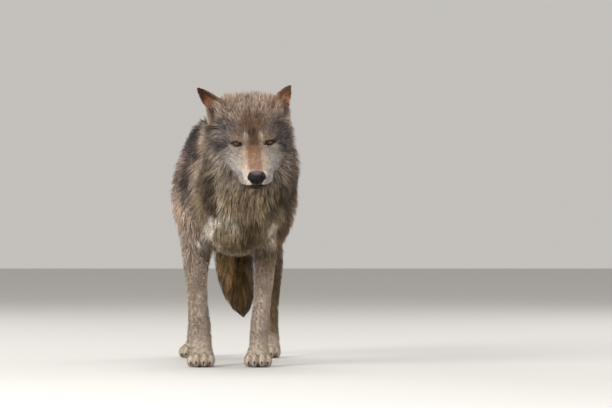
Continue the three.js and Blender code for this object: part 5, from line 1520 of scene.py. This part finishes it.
# eyes
horn = material("horn", base=(0.035, 0.028, 0.024), rough=0.35, specular=0.45, bump=(900, 0.25, 0.0003))
iris = material("eye_surface", "coat_colour", rough=0.22, specular=0.4, coat=0.2)
for n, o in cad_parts.items():
    if n.startswith("claw"):
        o.data.materials.clear()
        o.data.materials.append(horn)

CAMERA = np.array([207.0, -10000.0, 454.0])


def eyeball(side):
    c_head = eye_axes(side)[0]
    c = from_head([c_head])[0]
    gaze = CAMERA - c
    gaze /= np.linalg.norm(gaze)
    xa = np.cross(gaze, [0, 0, 1.0])
    xa /= np.linalg.norm(xa)
    ya = np.cross(xa, gaze)
    rows, cols = 64, 96
    P, C = [], []
    for i in range(rows + 1):
        th = math.pi * (i / rows) ** 1.5
        r = EYE_R * math.sin(th)
        f = EYE_R * math.cos(th)
        if r < 7.6 and f > 0:
            f += 1.2 * (1 - (r / 7.6) ** 2)
        for j in range(cols):
            an = 2 * math.pi * j / cols
            P.append(c + gaze * f + xa * r * math.cos(an) + ya * r * math.sin(an))
            ray = 0.5 + 0.5 * math.sin(an * 17 + 3 * math.sin(an * 5))
            fine_ray = 0.5 + 0.5 * math.sin(an * 41 + 2 * math.sin(an * 11))
            if f < 0 or r > 8.2:
                k = np.array(tone(40, 29, 25))
            elif r > 7.0:
                k = np.array(tone(26, 17, 13))
            elif r < 3.5:
                k = np.array([0.004, 0.004, 0.004])
            else:
                t = (r - 3.5) / 3.5
                inner, outer = np.array(tone(96, 73, 42)), np.array(tone(68, 46, 28))
                k = (inner * (1 - t) + outer * t) * (0.75 + 0.3 * ray * (1 - t) + 0.15 * fine_ray)
                k = k * (0.45 if t > 0.88 else 1.0) * (0.6 if t < 0.06 else 1)
            C.append(k)
    P, C = np.array(P), np.array(C)
    F = []
    for i in range(rows):
        for j in range(cols):
            a, b = i * cols + j, i * cols + (j + 1) % cols
            F += [[a, a + cols, b], [b, a + cols, b + cols]]
    F = np.array(F)
    # the two poles are single points
    top, bottom = 0, rows * cols
    F = np.where(F < cols, top, F)
    F = np.where(F >= rows * cols, bottom, F)
    F = F[(F[:, 0] != F[:, 1]) & (F[:, 1] != F[:, 2]) & (F[:, 0] != F[:, 2])]
    used = np.unique(F)
    back = np.zeros(len(P), int)
    back[used] = np.arange(len(used))
    o = make_mesh("eyeball_" + ("right" if side < 0 else "left"), P[used], back[F])
    paint(o, C[used])
    o.data.materials.append(iris)
    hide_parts("eye_right" if side < 0 else "eye_left")
    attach(o, "root")


for side in (-1, 1):
    eyeball(side)

# ------------------------------------------------------------------ studio
bpy.ops.mesh.primitive_plane_add(size=30, location=(0, 0, 0))
floor = bpy.context.object
floor.name = "floor"
floor.data.materials.append(material("floor", base=(0.62, 0.61, 0.59), rough=0.8, specular=0.15))
floor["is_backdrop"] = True


def lamp(name, at, aim, size, power, colour=(1, 1, 1)):
    d = bpy.data.lights.new(name, "AREA")
    d.shape, d.size, d.energy, d.color = "DISK", size, power, colour
    o = bpy.data.objects.new(name, d)
    bpy.context.scene.collection.objects.link(o)
    o.location = at
    o.rotation_euler = (Vector(aim) - Vector(at)).to_track_quat("-Z", "Y").to_euler()


lamp("key", (-3.2, -3.6, 2.6), (0, -0.1, 0.45), 2.6, 225, (1, 0.985, 0.96))
lamp("front", (0.2, -5.5, 1.3), (0, 0, 0.4), 2.4, 130, (1, 1, 1))
lamp("fill", (3.2, -2.6, 1.6), (0, -0.1, 0.45), 2.6, 15, (1, 0.97, 0.93))
lamp("top", (0.0, 0.8, 4.2), (0, 0.1, 0.4), 3.0, 60)
lamp("back_right", (-3.4, 3.6, 2.4), (0, 0.1, 0.45), 2.6, 60)
lamp("back_left", (3.4, 3.6, 2.4), (0, 0.1, 0.45), 2.6, 60)
w = bpy.data.worlds.new("studio")
bpy.context.scene.world = w
w.use_nodes = True
w.node_tree.nodes["Background"].inputs["Color"].default_value = (1.0, 0.965, 0.92, 1)
w.node_tree.nodes["Background"].inputs["Strength"].default_value = 0.55

cam = bpy.data.cameras.new("camera")
cam.sensor_width, cam.lens = 36, 3571 / 612 * 36
cam.clip_start, cam.clip_end = 0.1, 100
camera = bpy.data.objects.new("camera", cam)
camera.location = (CAMERA - ORIGIN) * 0.001
camera.rotation_euler = (math.radians(90), 0, 0)
bpy.context.scene.collection.objects.link(camera)
bpy.context.scene.camera = camera
bpy.context.scene.view_settings.view_transform = "Standard"

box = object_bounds()
said("done", [list(v) for v in cad_box], [list(v) for v in box])
